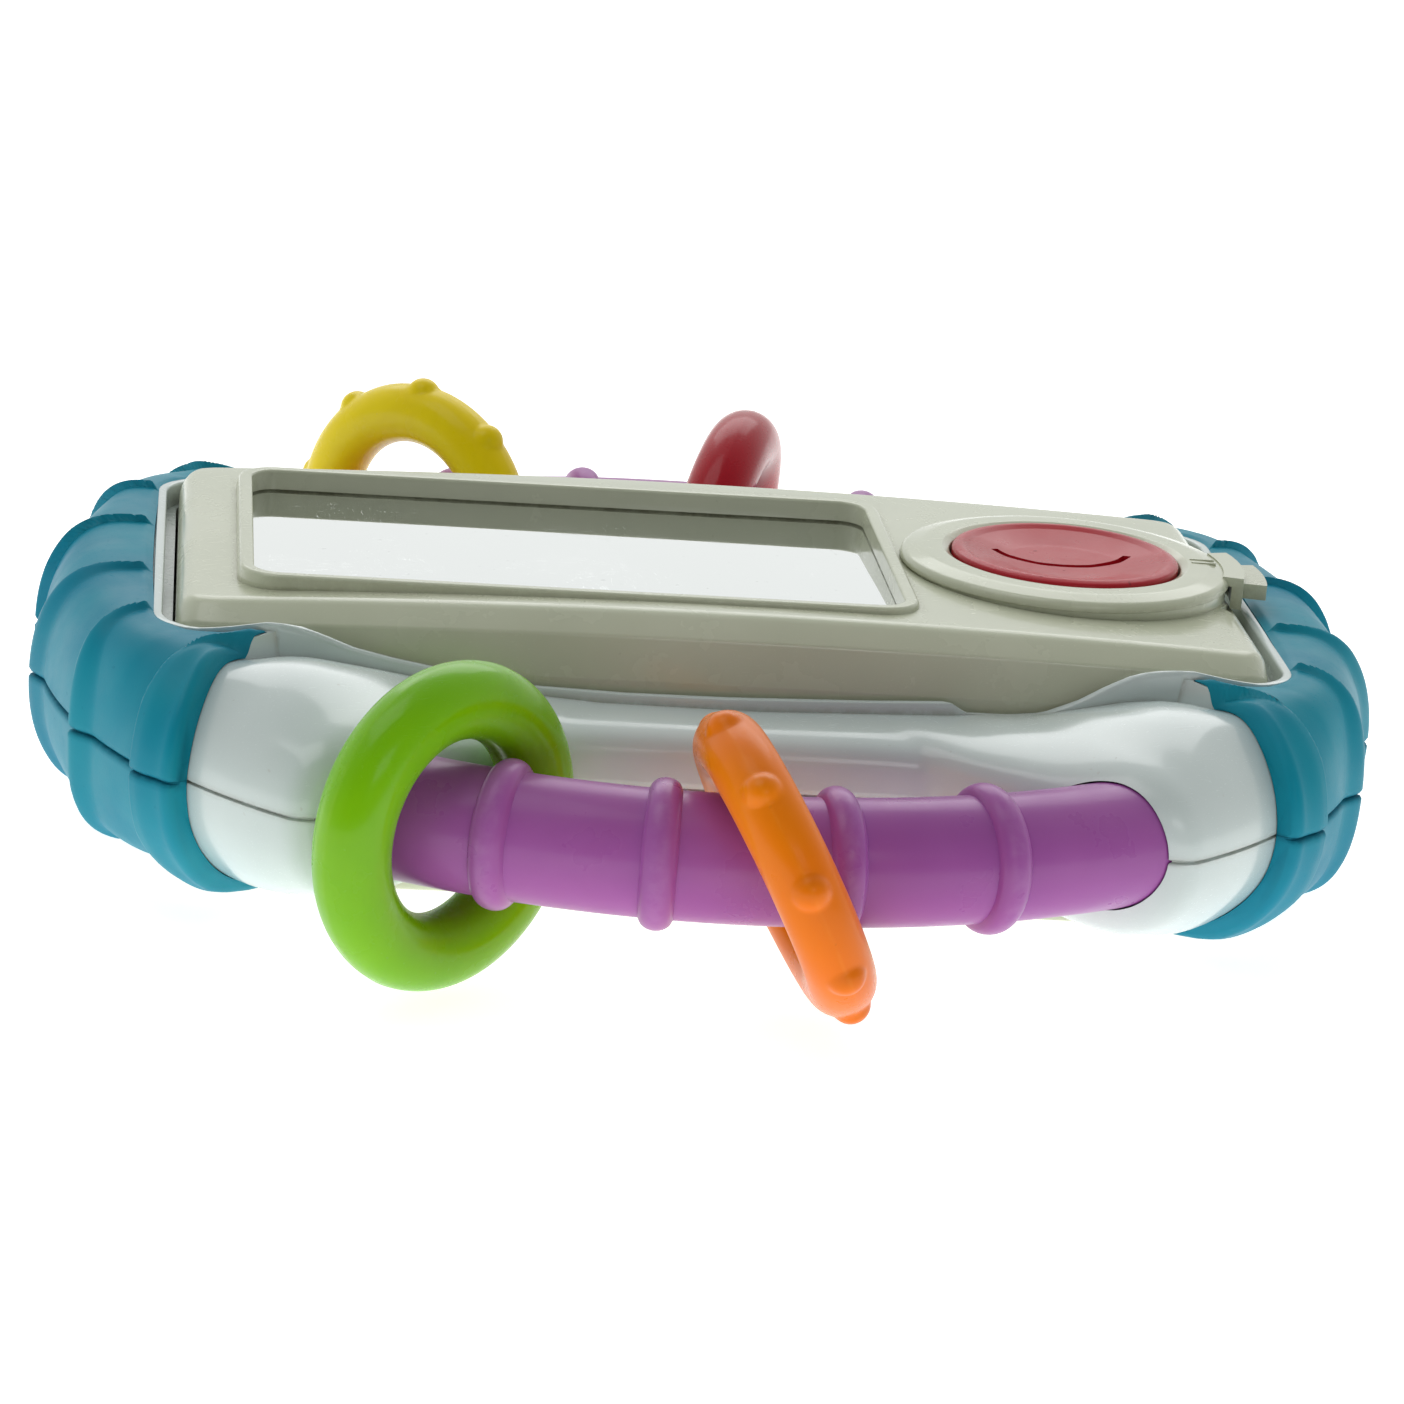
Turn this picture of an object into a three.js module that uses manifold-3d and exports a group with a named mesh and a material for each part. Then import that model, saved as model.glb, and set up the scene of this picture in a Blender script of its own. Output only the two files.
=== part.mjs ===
// Baby's activity toy: a phone module in a round hand frame, with four rings on two bars.
// Millimetres, +Z up. X runs along the phone, -Y is the front edge nearest the green ring.
// z = 0 is the flat underside of the phone module, which the toy rests on.
import * as THREE from "three";
import { ParametricGeometry } from "three/addons/geometries/ParametricGeometry.js";
import { mergeVertices } from "three/addons/utils/BufferGeometryUtils.js";
import Module from "manifold-3d";

const wasm = await Module();
wasm.setup();

// Shared heights and gaps
const SEAM_Z = 25;
const GAP = 0.3;
const HALF_GAP = GAP / 2;
const WALL = 2.2;
const THROUGH = 30; // a cutter this much longer than its hole passes right through

// Round hand frame, split into two shells at SEAM_Z; heights are measured from there
const FRAME_HALF = 95.8;
const FRAME_POWER = 2.2;
const OPEN_HALF_X = 81.3;
const OPEN_HALF_Y = 41.6;
const OPEN_RADIUS = 8;
const WAIST_HALF_Y = 55;
const WAIST_HEIGHT = 8.6;
const HUMP_HEIGHT = 17.5;
const END_HEIGHT = 16.2;
const LOWER_WAIST_HEIGHT = 11;
const LOWER_HUMP_HEIGHT = 21.2;
const LIP_WIDTH = 1.5;
const LIP_RISE = 1.6;
const POCKET_HALF_X = 63.3;
const POCKET_DEPTH = 4.6;
const FRAME_SCREWS = [[60, -50], [60, 50], [-60, -50], [-60, 50]];

// Ribbed grips over both ends of the frame; a rib is [first angle, last angle, height]
const GRIP_ANGLE = 39;
const GRIP_SHRINK = 0.16; // how far its ends and ribs draw in from the seam to the inner edge
const LOWER_GRIP_SHRINK = 0.11;
const LOWER_GRIP_GAP = 1.1;
const GRIP_GAP = 0.75;
const GRIP_THICKNESS = 2.15;
const GRIP_RIM_THICKNESS = 1.3;
const GRIP_RIM_START = 0.13;
const RIBS = [[7.2, 10.8, 1.1], [22.9, 26.4, 1.1], [34, 39, 1.4]];

// Curved bars and their collars
const BAR_ARC = 99.8;
const BAR_MID_Y = 84.5;
const BAR_PIVOT_Y = BAR_MID_Y - BAR_ARC;
const BAR_RADIUS = 8.9;
const BAR_END_ANGLE = 34.5;
const COLLAR_ANGLES = [-19.7, -7.2, 6.5, 19.2];
const COLLAR_RADIUS = 10.5;
const COLLAR_HALF = 2.1;

// Rings that slide along the bars
const RING_RADIUS = 17.9;
const SMOOTH_TUBE = 5.4;
const NUBBED_TUBE = 4.75;
const NUB_RADIUS = 2.8;
const NUB_SINK = 1.5;
const NUB_COUNT = 9;
const NUB_PHASE = 0.25;
const RING_DROP = 0.3;

// Phone module; a cover's profile is [inset, height] pairs from its seam to the middle of its face
const PHONE_HALF_X = 79.4;
const PHONE_HALF_Y = 41.1;
const COVER_WALL_TOP = 9.3;
const FRONT_COVER = {
  side: 1,
  profile: [[0, HALF_GAP], [0.5, 11.5], [1.7, 17.2], [2.6, 18.9], [5, 20.5], [7.4, 20.8]],
  backSlope: 0.45, // the back edge is steeper than the front one
  crown: 2,
  corner: 7.5,
  endRound: 2.4,
};
const REAR_COVER = {
  side: -1,
  profile: [
    [0, HALF_GAP], [0, COVER_WALL_TOP], [2.4, 12], [4.2, 16],
    [5.4, 20], [6.6, 23.4], [8, 24.6], [9.8, SEAM_Z],
  ],
  backSlope: 1,
  crown: 0,
  corner: 10,
  endRound: 9,
};
const WINDOW_X = -21.1;
const WINDOW_HALF_X = 47.4;
const WINDOW_HALF_Y = 29;
const WINDOW_RIM = 2;
const WINDOW_RIM_TOP = SEAM_Z + 21.6;
const WINDOW_CORNER = 4;
const MIRROR_TOP = SEAM_Z + 18.3;
const MIRROR_THICKNESS = 1.5;
const MIRROR_HALF_X = WINDOW_HALF_X + 1.8;
const MIRROR_HALF_Y = WINDOW_HALF_Y + 1.5;
const CASE_SCREWS = [[-73.9, -20], [-73.9, 20], [73.9, -22], [73.9, 22]];
const CASE_POST_LOW = 9;

// Selector ring and push button, round about the vertical through (BUTTON_X, 0)
const BUTTON_X = 53.8;
const BUTTON_RADIUS = 17.15;
const BUTTON_TOP = SEAM_Z + 23.4;
const BUTTON_FLOOR = SEAM_Z + 16.4;
const BUTTON_STEM_LOW = SEAM_Z + 9;
const SELECTOR_INNER = 17.5;
const SELECTOR_NECK = 19.5;
const SELECTOR_OUTER = 24.7;
const SELECTOR_TOP = SEAM_Z + 22.9;
const SELECTOR_SEAT = SEAM_Z + 20.8;
const LEVER_INNER = 24;
const LEVER_OUTER = 27.2;
const LEVER_TIP = 30.7;
const LEVER_HALF_ANGLE = 16;
const LEVER_TRACK_ANGLE = 28;

// Inside parts
const BOARD_Z = SEAM_Z + 4;
const BOARD_THICKNESS = 1.6;
const BOARD_CORNERS = [[31, -20], [31, 20], [67, -17], [67, 17]];
const BATTERY_RADIUS = 7.1;
const BATTERY_HALF = 25;
const BATTERY_PITCH = 7.7;
const DOOR_X = -35;
const DOOR_HALF_X = 31;
const DOOR_HALF_Y = 18;
const DOOR_SCREW_X = 28;
const BATTERY_X = DOOR_X - 3;
const BATTERY_Z = 10.2;
const SPEAKER_RADIUS = 18;
const SPRING_RADIUS = 7;
const SPRING_WIRE = 0.55;
const SPRING_TURNS = 5;
const LEAD_RADIUS = 0.6;

const TURN = Math.PI * 2;
const QUARTER = Math.PI / 2;
const part = new THREE.Group();
part.name = "toy_cell_phone";

function radians(degrees) {
  return degrees * Math.PI / 180;
}

function clamp01(value) {
  return Math.min(1, Math.max(0, value));
}

function mix(a, b, t) {
  return a + (b - a) * t;
}

function smooth(from, to, value) {
  const t = clamp01((value - from) / (to - from));
  return t * t * (3 - 2 * t);
}

// ---- closed bodies ----

// Solid from a closed geometry, with shared vertices merged and faces turned outwards.
function solidFrom(geometry) {
  geometry.deleteAttribute("normal");
  geometry.deleteAttribute("uv");
  const merged = mergeVertices(geometry);
  const points = merged.attributes.position;
  const corners = [new THREE.Vector3(), new THREE.Vector3(), new THREE.Vector3()];
  const faces = [];
  let volume = 0;
  for (let i = 0; i < merged.index.count; i += 3) {
    const face = [i, i + 1, i + 2].map((corner) => merged.index.getX(corner));
    if (new Set(face).size === 3) {
      const [a, b, c] = face.map((index, corner) => corners[corner].fromBufferAttribute(points, index));
      volume += a.dot(b.cross(c));
      faces.push(face);
    }
  }
  const outward = volume > 0 ? faces : faces.map(([i, j, k]) => [i, k, j]);
  const triVerts = new Uint32Array(outward.flat());
  return new wasm.Manifold(new wasm.Mesh({ numProp: 3, vertProperties: points.array, triVerts }));
}

// Points drawn halfway to their partners across a section, which flattens it to a line.
function flattened(section) {
  return section.map((point, i) => {
    const partner = section[section.length - 1 - i];
    return point.map((value, axis) => (value + partner[axis]) / 2);
  });
}

// Surface over a row of matching sections. A closed row joins its end to its start; in an open row
// a point's partner is the one as far from the list's other end, and the ends close between them.
function loft(sections, closed = false) {
  const first = sections[0];
  const last = sections.at(-1);
  const rows = closed ? [...sections, first] : [flattened(first), ...sections, flattened(last)];
  const count = first.length;
  const surface = (u, v, target) => {
    const row = rows[Math.round(v * (rows.length - 1))];
    target.fromArray(row[Math.round(u * count) % count]);
  };
  return solidFrom(new ParametricGeometry(surface, count, rows.length - 1));
}

// Body of revolution about Z from [radius, z] pairs that start and end on the axis.
function turned(profile, segments = 32) {
  const points = profile.map(([radius, z]) => new THREE.Vector2(radius, z));
  return solidFrom(new THREE.LatheGeometry(points, segments).rotateX(QUARTER));
}

function drum(radius, low, high, segments = 24, [x, y] = [0, 0]) {
  const cylinder = new THREE.CylinderGeometry(radius, radius, high - low, segments);
  return solidFrom(cylinder.rotateX(QUARTER).translate(x, y, (low + high) / 2));
}

function block(x0, x1, y0, y1, z0, z1) {
  const box = new THREE.BoxGeometry(x1 - x0, y1 - y0, z1 - z0);
  return solidFrom(box.translate((x0 + x1) / 2, (y0 + y1) / 2, (z0 + z1) / 2));
}

function plate(shape, low, high, curveSegments, x = 0) {
  const body = new THREE.ExtrudeGeometry(shape, { depth: high - low, curveSegments, bevelEnabled: false });
  return solidFrom(body.translate(x, 0, low));
}

// Flat plate with rounded corners, centred at (x, 0).
function slab(halfX, halfY, radius, low, high, x = 0) {
  const shape = new THREE.Shape();
  shape.absarc(halfX - radius, halfY - radius, radius, 0, QUARTER);
  shape.absarc(radius - halfX, halfY - radius, radius, QUARTER, 2 * QUARTER);
  shape.absarc(radius - halfX, radius - halfY, radius, 2 * QUARTER, 3 * QUARTER);
  shape.absarc(halfX - radius, radius - halfY, radius, 3 * QUARTER, TURN);
  return plate(shape, low, high, 2, x);
}

// Part of a flat ring, from -halfAngle to halfAngle about the direction given by middle.
function sector(inner, outer, halfAngle, low, high, x = 0, middle = 0) {
  const shape = new THREE.Shape();
  shape.absarc(0, 0, outer, radians(middle - halfAngle), radians(middle + halfAngle));
  shape.absarc(0, 0, inner, radians(middle + halfAngle), radians(middle - halfAngle), true);
  return plate(shape, low, high, 4, x);
}

// Round rod along a curve; it has twice as many sides as halfSides.
function rod(extrudePath, radius, steps, halfSides) {
  const shape = new THREE.Shape().absarc(0, 0, radius, 0, TURN);
  return solidFrom(new THREE.ExtrudeGeometry(shape, { extrudePath, steps, curveSegments: halfSides }));
}

function join(bodies) {
  return bodies.reduce((whole, body) => whole.add(body));
}

function cut(body, tools) {
  return tools.reduce((rest, tool) => rest.subtract(tool), body);
}

function addMesh(group, name, body, color, roughness = 0.45, metalness = 0) {
  const mesh = body.getMesh();
  const geometry = new THREE.BufferGeometry();
  const points = Float32Array.from(mesh.vertProperties);
  geometry.setAttribute("position", new THREE.BufferAttribute(points, 3));
  geometry.setIndex(new THREE.BufferAttribute(Uint32Array.from(mesh.triVerts), 1));
  geometry.computeVertexNormals();
  const node = new THREE.Mesh(geometry, new THREE.MeshStandardMaterial({ color, roughness, metalness }));
  node.name = name;
  group.add(node);
  return node;
}

function groupAt(x, y, z) {
  const group = new THREE.Group();
  group.position.set(x, y, z);
  part.add(group);
  return group;
}

// ---- round hand frame ----

function ovalRadius(angle, half) {
  const c = Math.abs(Math.cos(angle)) / half;
  const s = Math.abs(Math.sin(angle)) / half;
  return (c ** FRAME_POWER + s ** FRAME_POWER) ** (-1 / FRAME_POWER);
}

// Angle from the nearer end of the X axis, 0 to 90 degrees.
function endAngle(angle) {
  return Math.atan2(Math.abs(Math.sin(angle)), Math.abs(Math.cos(angle))) / TURN * 360;
}

function openingRadius(angle) {
  const c = Math.abs(Math.cos(angle));
  const s = Math.abs(Math.sin(angle));
  const cornerX = OPEN_HALF_X - OPEN_RADIUS;
  const cornerY = OPEN_HALF_Y - OPEN_RADIUS;
  if (OPEN_HALF_X * s <= cornerY * c) return OPEN_HALF_X / c;
  if (OPEN_HALF_Y * c <= cornerX * s) return OPEN_HALF_Y / s;
  const along = cornerX * c + cornerY * s;
  const miss = cornerX ** 2 + cornerY ** 2 - OPEN_RADIUS ** 2;
  return along + Math.sqrt(along ** 2 - miss);
}

function frameRadius(angle) {
  const oval = ovalRadius(angle, FRAME_HALF);
  const straight = WAIST_HALF_Y / Math.max(0.5, Math.abs(Math.sin(angle)));
  return mix(oval, straight, smooth(50, 64, endAngle(angle)));
}

// Height of the frame at a distance from its middle: low at the waist, humped beside the grips.
function frameHeight(x, side) {
  const waist = side > 0 ? WAIST_HEIGHT : LOWER_WAIST_HEIGHT;
  const hump = side > 0 ? HUMP_HEIGHT : LOWER_HUMP_HEIGHT;
  const rising = mix(waist, hump, smooth(34, 66, Math.abs(x)));
  return mix(rising, END_HEIGHT, smooth(67, 81, Math.abs(x)));
}

function framePower(angle) {
  return mix(2.3, 4, smooth(48, 70, endAngle(angle)));
}

// Depth of the inner edge: a pocket with a raised lip between the humps, a narrow step elsewhere.
function pocketDepth(angle, side) {
  if (side < 0) return 0;
  const edgeX = openingRadius(angle) * Math.abs(Math.cos(angle));
  const pocket = mix(0, POCKET_DEPTH, smooth(36, POCKET_HALF_X - 3, edgeX));
  return mix(pocket, 1, smooth(POCKET_HALF_X - 0.5, POCKET_HALF_X + 1.5, edgeX));
}

// Point on the frame's skin: turn 0 is the seam, 1 the inner edge; height is above the seam.
function framePoint(angle, turn, side, inset = 0) {
  const power = framePower(angle);
  const inner = openingRadius(angle) + inset;
  const width = frameRadius(angle) - inset - inner;
  const t = turn * QUARTER;
  const across = Math.cos(t) ** (2 / power);
  const up = Math.sin(t) ** (2 / power);
  const radius = inner + width * across;
  const height = frameHeight(radius * Math.cos(angle), side) - inset;
  const slopeAcross = across ** (power - 1) / width;
  const slopeUp = up ** (power - 1) / height;
  const length = Math.hypot(slopeAcross, slopeUp) || 1;
  const sink = pocketDepth(angle, side) * (1 - smooth(0.1, 0.78, across));
  return {
    radius,
    height: height * up - sink,
    outRadius: slopeAcross / length,
    outHeight: slopeUp / length,
  };
}

function place(angle, radius, height, side) {
  return [radius * Math.cos(angle), radius * Math.sin(angle), SEAM_Z + side * height];
}

// Angles of one quarter of the frame; the grips' ribs start and end on some of them.
const QUARTER_ANGLES = [0, 7.2, 10.8, 17, 22.9, 26.4, 30, 34, 39, 43, 47, 51, 55, 59, 64, 70, 79];
const SKIN_TURNS = [0, 0.12, 0.26, 0.42, 0.6, 0.8, 1];
const CORE_TURNS = [0.95, 0.6, 0.25];
const STATIONS = [0, 1, 2, 3].flatMap((quarter) => {
  const rising = QUARTER_ANGLES.map((angle) => quarter * 90 + angle);
  const falling = QUARTER_ANGLES.slice(1).reverse().map((angle) => quarter * 90 + 90 - angle);
  return (quarter % 2 ? [quarter * 90, ...falling] : rising).map(radians);
});

// Radius and height on the flat facets of the frame's skin, so a part laid over it keeps its gap.
function facetPoint(angle, turn, side) {
  const wrapped = (angle + TURN) % TURN;
  const next = STATIONS.findIndex((station) => station > wrapped + 1e-9);
  const after = next < 0 ? 0 : next;
  const before = (after + STATIONS.length - 1) % STATIONS.length;
  const high = Math.max(1, SKIN_TURNS.findIndex((t) => t >= turn - 1e-9));
  const share = (turn - SKIN_TURNS[high - 1]) / (SKIN_TURNS[high] - SKIN_TURNS[high - 1]);
  const ends = [STATIONS[before], STATIONS[after]].map((station) => {
    const a = framePoint(station, SKIN_TURNS[high - 1], side);
    const b = framePoint(station, SKIN_TURNS[high], side);
    const radius = mix(a.radius, b.radius, share);
    return {
      ahead: radius * Math.cos(station - wrapped),
      aside: radius * Math.sin(station - wrapped),
      height: mix(a.height, b.height, share),
    };
  });
  const [near, far] = ends;
  const along = near.aside / (near.aside - far.aside);
  return { radius: mix(near.ahead, far.ahead, along), height: mix(near.height, far.height, along) };
}

function frameShell(side) {
  const sections = STATIONS.map((angle) => {
    const rim = openingRadius(angle);
    const ledge = framePoint(angle, 1, side).height;
    const lip = ledge + Math.max(LIP_RISE, pocketDepth(angle, side));
    const skin = SKIN_TURNS.map((turn) => framePoint(angle, turn, side));
    const core = CORE_TURNS.map((turn) => framePoint(angle, turn, side, WALL));
    const edge = side > 0 ? rim + LIP_WIDTH : rim;
    const section = skin.map((p) => {
      return place(angle, Math.max(p.radius, edge), Math.max(HALF_GAP, p.height), side);
    });
    if (side > 0) section.push(place(angle, edge, lip, side), place(angle, rim, lip, side));
    section.push(place(angle, rim, HALF_GAP, side));
    section.push(place(angle, rim + WALL, HALF_GAP, side));
    section.push(...core.map((p) => place(angle, p.radius, Math.max(WALL, p.height), side)));
    section.push(place(angle, frameRadius(angle) - WALL, HALF_GAP, side));
    return section;
  });
  return loft(sections, true);
}

function frameUpper() {
  const posts = FRAME_SCREWS.map((xy) => drum(3.6, SEAM_Z + HALF_GAP, SEAM_Z + 12.4, 16, xy));
  const bores = FRAME_SCREWS.map((xy) => drum(1.75, SEAM_Z - 1, SEAM_Z + 8.5, 12, xy));
  return cut(join([frameShell(1), ...posts]), [barSpace(-1), barSpace(1), ...bores]);
}

function frameLower() {
  const posts = FRAME_SCREWS.map((xy) => drum(5.2, SEAM_Z - 17.4, SEAM_Z - HALF_GAP, 16, xy));
  const bores = FRAME_SCREWS.map((xy) => drum(1.75, SEAM_Z - THROUGH, SEAM_Z + 1, 12, xy));
  const sinks = FRAME_SCREWS.map((xy) => drum(3.4, SEAM_Z - THROUGH, SEAM_Z - 8, 16, xy));
  return cut(join([frameShell(-1), ...posts]), [barSpace(-1), barSpace(1), ...bores, ...sinks]);
}

// Screw pointing up, with its slotted head's underside at z = 0 and its top at headHeight.
function screw(headRadius, headHeight, length) {
  const shank = 1.4;
  const body = turned([
    [0, 0], [headRadius * 0.8, 0], [headRadius, 0.5], [headRadius, headHeight],
    [shank, headHeight], [shank, length], [0, length],
  ], 10);
  return body.subtract(block(-headRadius * 0.6, headRadius * 0.6, -0.35, 0.35, -1, 0.8));
}

// ---- grips ----

function ribHeight(degrees) {
  const away = Math.abs(degrees);
  return Math.max(...RIBS.map(([from, to, height]) => {
    const share = (away - from) / (to - from);
    return share < -1e-6 || share > 1 ? 0 : height * (1 - smooth(0.3, 1.1, share));
  }));
}

function gripAngles() {
  const marks = QUARTER_ANGLES.filter((angle) => angle <= GRIP_ANGLE);
  RIBS.forEach(([from, to]) => marks.push(from - 0.4, mix(from, to, 0.5)));
  return [...marks.slice(1).map((angle) => -angle), ...marks].sort((a, b) => a - b);
}

function grip(end, side) {
  const turns = [...SKIN_TURNS.slice(0, -1), 1 - GRIP_RIM_START];
  const sections = gripAngles().map((degrees) => {
    const outer = [];
    const inner = [];
    const gap = side > 0 ? GRIP_GAP : LOWER_GRIP_GAP;
    for (const turn of turns) {
      const shrink = 1 - (side > 0 ? GRIP_SHRINK : LOWER_GRIP_SHRINK) * turn;
      const angle = radians(degrees) * shrink + (end > 0 ? 0 : Math.PI);
      const facet = facetPoint(angle, turn, side);
      const slope = framePoint(angle, turn, side);
      const thickness = mix(GRIP_THICKNESS, GRIP_RIM_THICKNESS, smooth(0.45, 0.97, turn));
      const rib = ribHeight(degrees) * (1 - smooth(0.6, 0.97, turn));
      const at = (offset) => {
        const height = facet.height + slope.outHeight * offset;
        return place(angle, facet.radius + slope.outRadius * offset, Math.max(HALF_GAP, height), side);
      };
      outer.push(at(gap + thickness + rib));
      inner.push(at(gap));
    }
    return [...outer, ...inner.reverse()];
  });
  return loft(sections);
}

// ---- bars ----

// Point by a bar: out is away from the bar's pivot, up is above the seam.
function barPoint(front, degrees, out = 0, up = 0) {
  const angle = radians(degrees);
  const reach = BAR_ARC + out;
  return [reach * Math.sin(angle), front * (BAR_PIVOT_Y + reach * Math.cos(angle)), SEAM_Z + up];
}

function barSection(front, degrees, radius, sides) {
  return Array.from({ length: sides }, (_, i) => {
    const around = (i + 0.5) / sides * TURN;
    return barPoint(front, degrees, radius * Math.cos(around), radius * Math.sin(around));
  });
}

function bar(front) {
  const stations = [-1, -0.75, -0.38, 0, 0.38, 0.75, 1].map((step) => [step * BAR_END_ANGLE, 0]);
  for (const centre of COLLAR_ANGLES) {
    for (const turn of [-90, -45, 0, 45, 90].map(radians)) {
      const aside = COLLAR_HALF * Math.sin(turn) / BAR_ARC / TURN * 360;
      stations.push([centre + aside, Math.cos(turn)]);
    }
  }
  stations.sort((a, b) => a[0] - b[0]);
  return loft(stations.map(([degrees, rise]) => {
    return barSection(front, degrees, mix(BAR_RADIUS, COLLAR_RADIUS, rise), 16);
  }));
}

function barSpace(front) {
  const reach = BAR_END_ANGLE + 0.4;
  return loft([-1, -0.75, 0.75, 1].map((step) => {
    return barSection(front, step * reach, BAR_RADIUS + GAP, 16);
  }));
}

// ---- rings ----

// Torus whose axis lies along X, with optional nubs round its rim.
function ringBody(tubeRadius, nubbed) {
  const torus = solidFrom(new THREE.TorusGeometry(RING_RADIUS, tubeRadius, 10, 32).rotateY(QUARTER));
  if (!nubbed) return torus;
  const reach = RING_RADIUS + tubeRadius - NUB_SINK;
  const nubs = [];
  for (let i = 0; i < NUB_COUNT; i++) {
    const angle = (i + NUB_PHASE) / NUB_COUNT * TURN;
    const nub = new THREE.SphereGeometry(NUB_RADIUS, 8, 4).rotateX(QUARTER);
    nubs.push(solidFrom(nub.translate(0, reach * Math.cos(angle), reach * Math.sin(angle))));
  }
  return join([torus, ...nubs]);
}

// Ring on a bar: slot is its angle along the bar, swing turns it about Z, lean about the bar's radius.
function addRing(name, { front, slot, swing, lean = 0, drop = RING_DROP, nubbed, color }) {
  const holder = groupAt(...barPoint(front, slot, 0, -drop));
  holder.rotation.z = radians(swing - front * slot);
  const tube = nubbed ? NUBBED_TUBE : SMOOTH_TUBE;
  const ring = addMesh(holder, name, ringBody(tube, nubbed), color, 0.3);
  ring.rotation.y = radians(lean);
}

// ---- phone module ----

function quarterRound(radius, distance) {
  return radius - Math.sqrt(Math.max(0, radius ** 2 - distance ** 2));
}

// Section of a cover's outer skin at x, or of its inside when inset is the wall.
function coverSection(cover, x, inset) {
  const halfX = PHONE_HALF_X - inset;
  const corner = cover.corner - inset;
  const endRound = Math.max(1, cover.endRound - inset);
  const fromCorner = Math.max(0, Math.abs(x) - halfX + corner);
  const fromRound = Math.max(0, Math.abs(x) - halfX + endRound);
  const pull = 0.85 * quarterRound(corner, fromCorner);
  const endSink = 0.85 * quarterRound(endRound, fromRound);
  const top = cover.profile.at(-1)[1];
  const half = (slope) => cover.profile.map(([step, height], index) => {
    const share = clamp01((height - COVER_WALL_TOP) / (top - COVER_WALL_TOP));
    const sink = share * (cover.crown * (x / PHONE_HALF_X) ** 2 + endSink + inset);
    const level = inset && index === 0 ? -WALL : height - sink;
    return [PHONE_HALF_Y - inset - step * slope - pull, level];
  });
  return [...half(cover.backSlope), ...half(1).toReversed().map(([y, height]) => [-y, height])];
}

function coverBody(cover, inset = 0) {
  const halfX = PHONE_HALF_X - inset;
  const steps = [0, 0.1, 0.35, 0.65, 1].map((share) => halfX - share * cover.corner);
  const ends = [...steps, 0.65 * halfX, 0.35 * halfX];
  const xs = [...ends.map((x) => -x), 0, ...ends.toReversed()];
  return loft(xs.map((x) => {
    return coverSection(cover, x, inset).map(([y, height]) => [x, y, SEAM_Z + cover.side * height]);
  }));
}

function coverShell(cover) {
  return coverBody(cover).subtract(coverBody(cover, WALL));
}

function leverTrack() {
  const low = SEAM_Z + 17.3;
  return sector(SELECTOR_OUTER + 0.4, LEVER_TIP + 1, LEVER_TRACK_ANGLE, low, low + THROUGH, BUTTON_X);
}

function frontCover() {
  const deck = SEAM_Z + 18.6;
  const rim = slab(
    WINDOW_HALF_X + WINDOW_RIM, WINDOW_HALF_Y + WINDOW_RIM, WINDOW_CORNER + WINDOW_RIM,
    deck, WINDOW_RIM_TOP, WINDOW_X,
  );
  const boss = drum(SELECTOR_OUTER - GAP, deck, SELECTOR_SEAT, 36, [BUTTON_X, 0]);
  const posts = CASE_SCREWS.map((xy) => drum(3, CASE_POST_LOW, SEAM_Z + 17, 16, xy));
  const window = slab(WINDOW_HALF_X, WINDOW_HALF_Y, WINDOW_CORNER, SEAM_Z, SEAM_Z + THROUGH, WINDOW_X);
  const seat = slab(
    MIRROR_HALF_X + GAP, MIRROR_HALF_Y + GAP, WINDOW_CORNER + GAP,
    SEAM_Z + 15, MIRROR_TOP + GAP, WINDOW_X,
  );
  const hole = drum(SELECTOR_NECK + 0.4, SEAM_Z, SEAM_Z + THROUGH, 36, [BUTTON_X, 0]);
  const bores = CASE_SCREWS.map((xy) => drum(1.7, CASE_POST_LOW - 1, 20, 12, xy));
  const whole = join([coverShell(FRONT_COVER), rim, boss, ...posts]);
  return cut(whole, [window, seat, hole, leverTrack(), ...bores]);
}

function rearCover() {
  const posts = CASE_SCREWS.map((xy) => drum(4.6, 1, CASE_POST_LOW - 1, 16, xy));
  const boardPosts = BOARD_CORNERS.map((xy) => drum(3, 1, BOARD_Z - GAP, 16, xy));
  const ledge = join([
    block(DOOR_X + 33.5, DOOR_X + 37, -12, 12, 1, 5.2),
    block(DOOR_X + 25.2, DOOR_X + 34, -12, 12, 2.9, 5.2),
  ]);
  const inside = join([...posts, ...boardPosts, ledge]).intersect(coverBody(REAR_COVER).add(
    block(-PHONE_HALF_X + 1, PHONE_HALF_X - 1, -30, 30, CASE_POST_LOW - 4, BOARD_Z),
  ));
  const doorHole = slab(DOOR_HALF_X + GAP, DOOR_HALF_Y + GAP, 3, -THROUGH, 2.6, DOOR_X);
  const bay = block(DOOR_X - 28, DOOR_X + 25.2, -16.5, 16.5, -THROUGH, 4);
  const bores = CASE_SCREWS.map((xy) => drum(1.75, -THROUGH, 12, 12, xy));
  const sinks = CASE_SCREWS.map((xy) => drum(3.4, -THROUGH, 5.4, 16, xy));
  const doorBore = drum(1.7, -THROUGH, 12, 12, [DOOR_X + DOOR_SCREW_X, 0]);
  const grille = [drum(1.5, -THROUGH, 4, 10, [BUTTON_X, 0])];
  for (let i = 0; i < 6; i++) {
    const angle = i / 6 * TURN;
    grille.push(drum(1.5, -THROUGH, 4, 10, [BUTTON_X + 7 * Math.cos(angle), 7 * Math.sin(angle)]));
  }
  const whole = join([coverShell(REAR_COVER), inside]);
  return cut(whole, [doorHole, bay, ...bores, ...sinks, doorBore, ...grille]);
}

function mirror() {
  return slab(MIRROR_HALF_X, MIRROR_HALF_Y, WINDOW_CORNER, -MIRROR_THICKNESS, 0);
}

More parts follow.
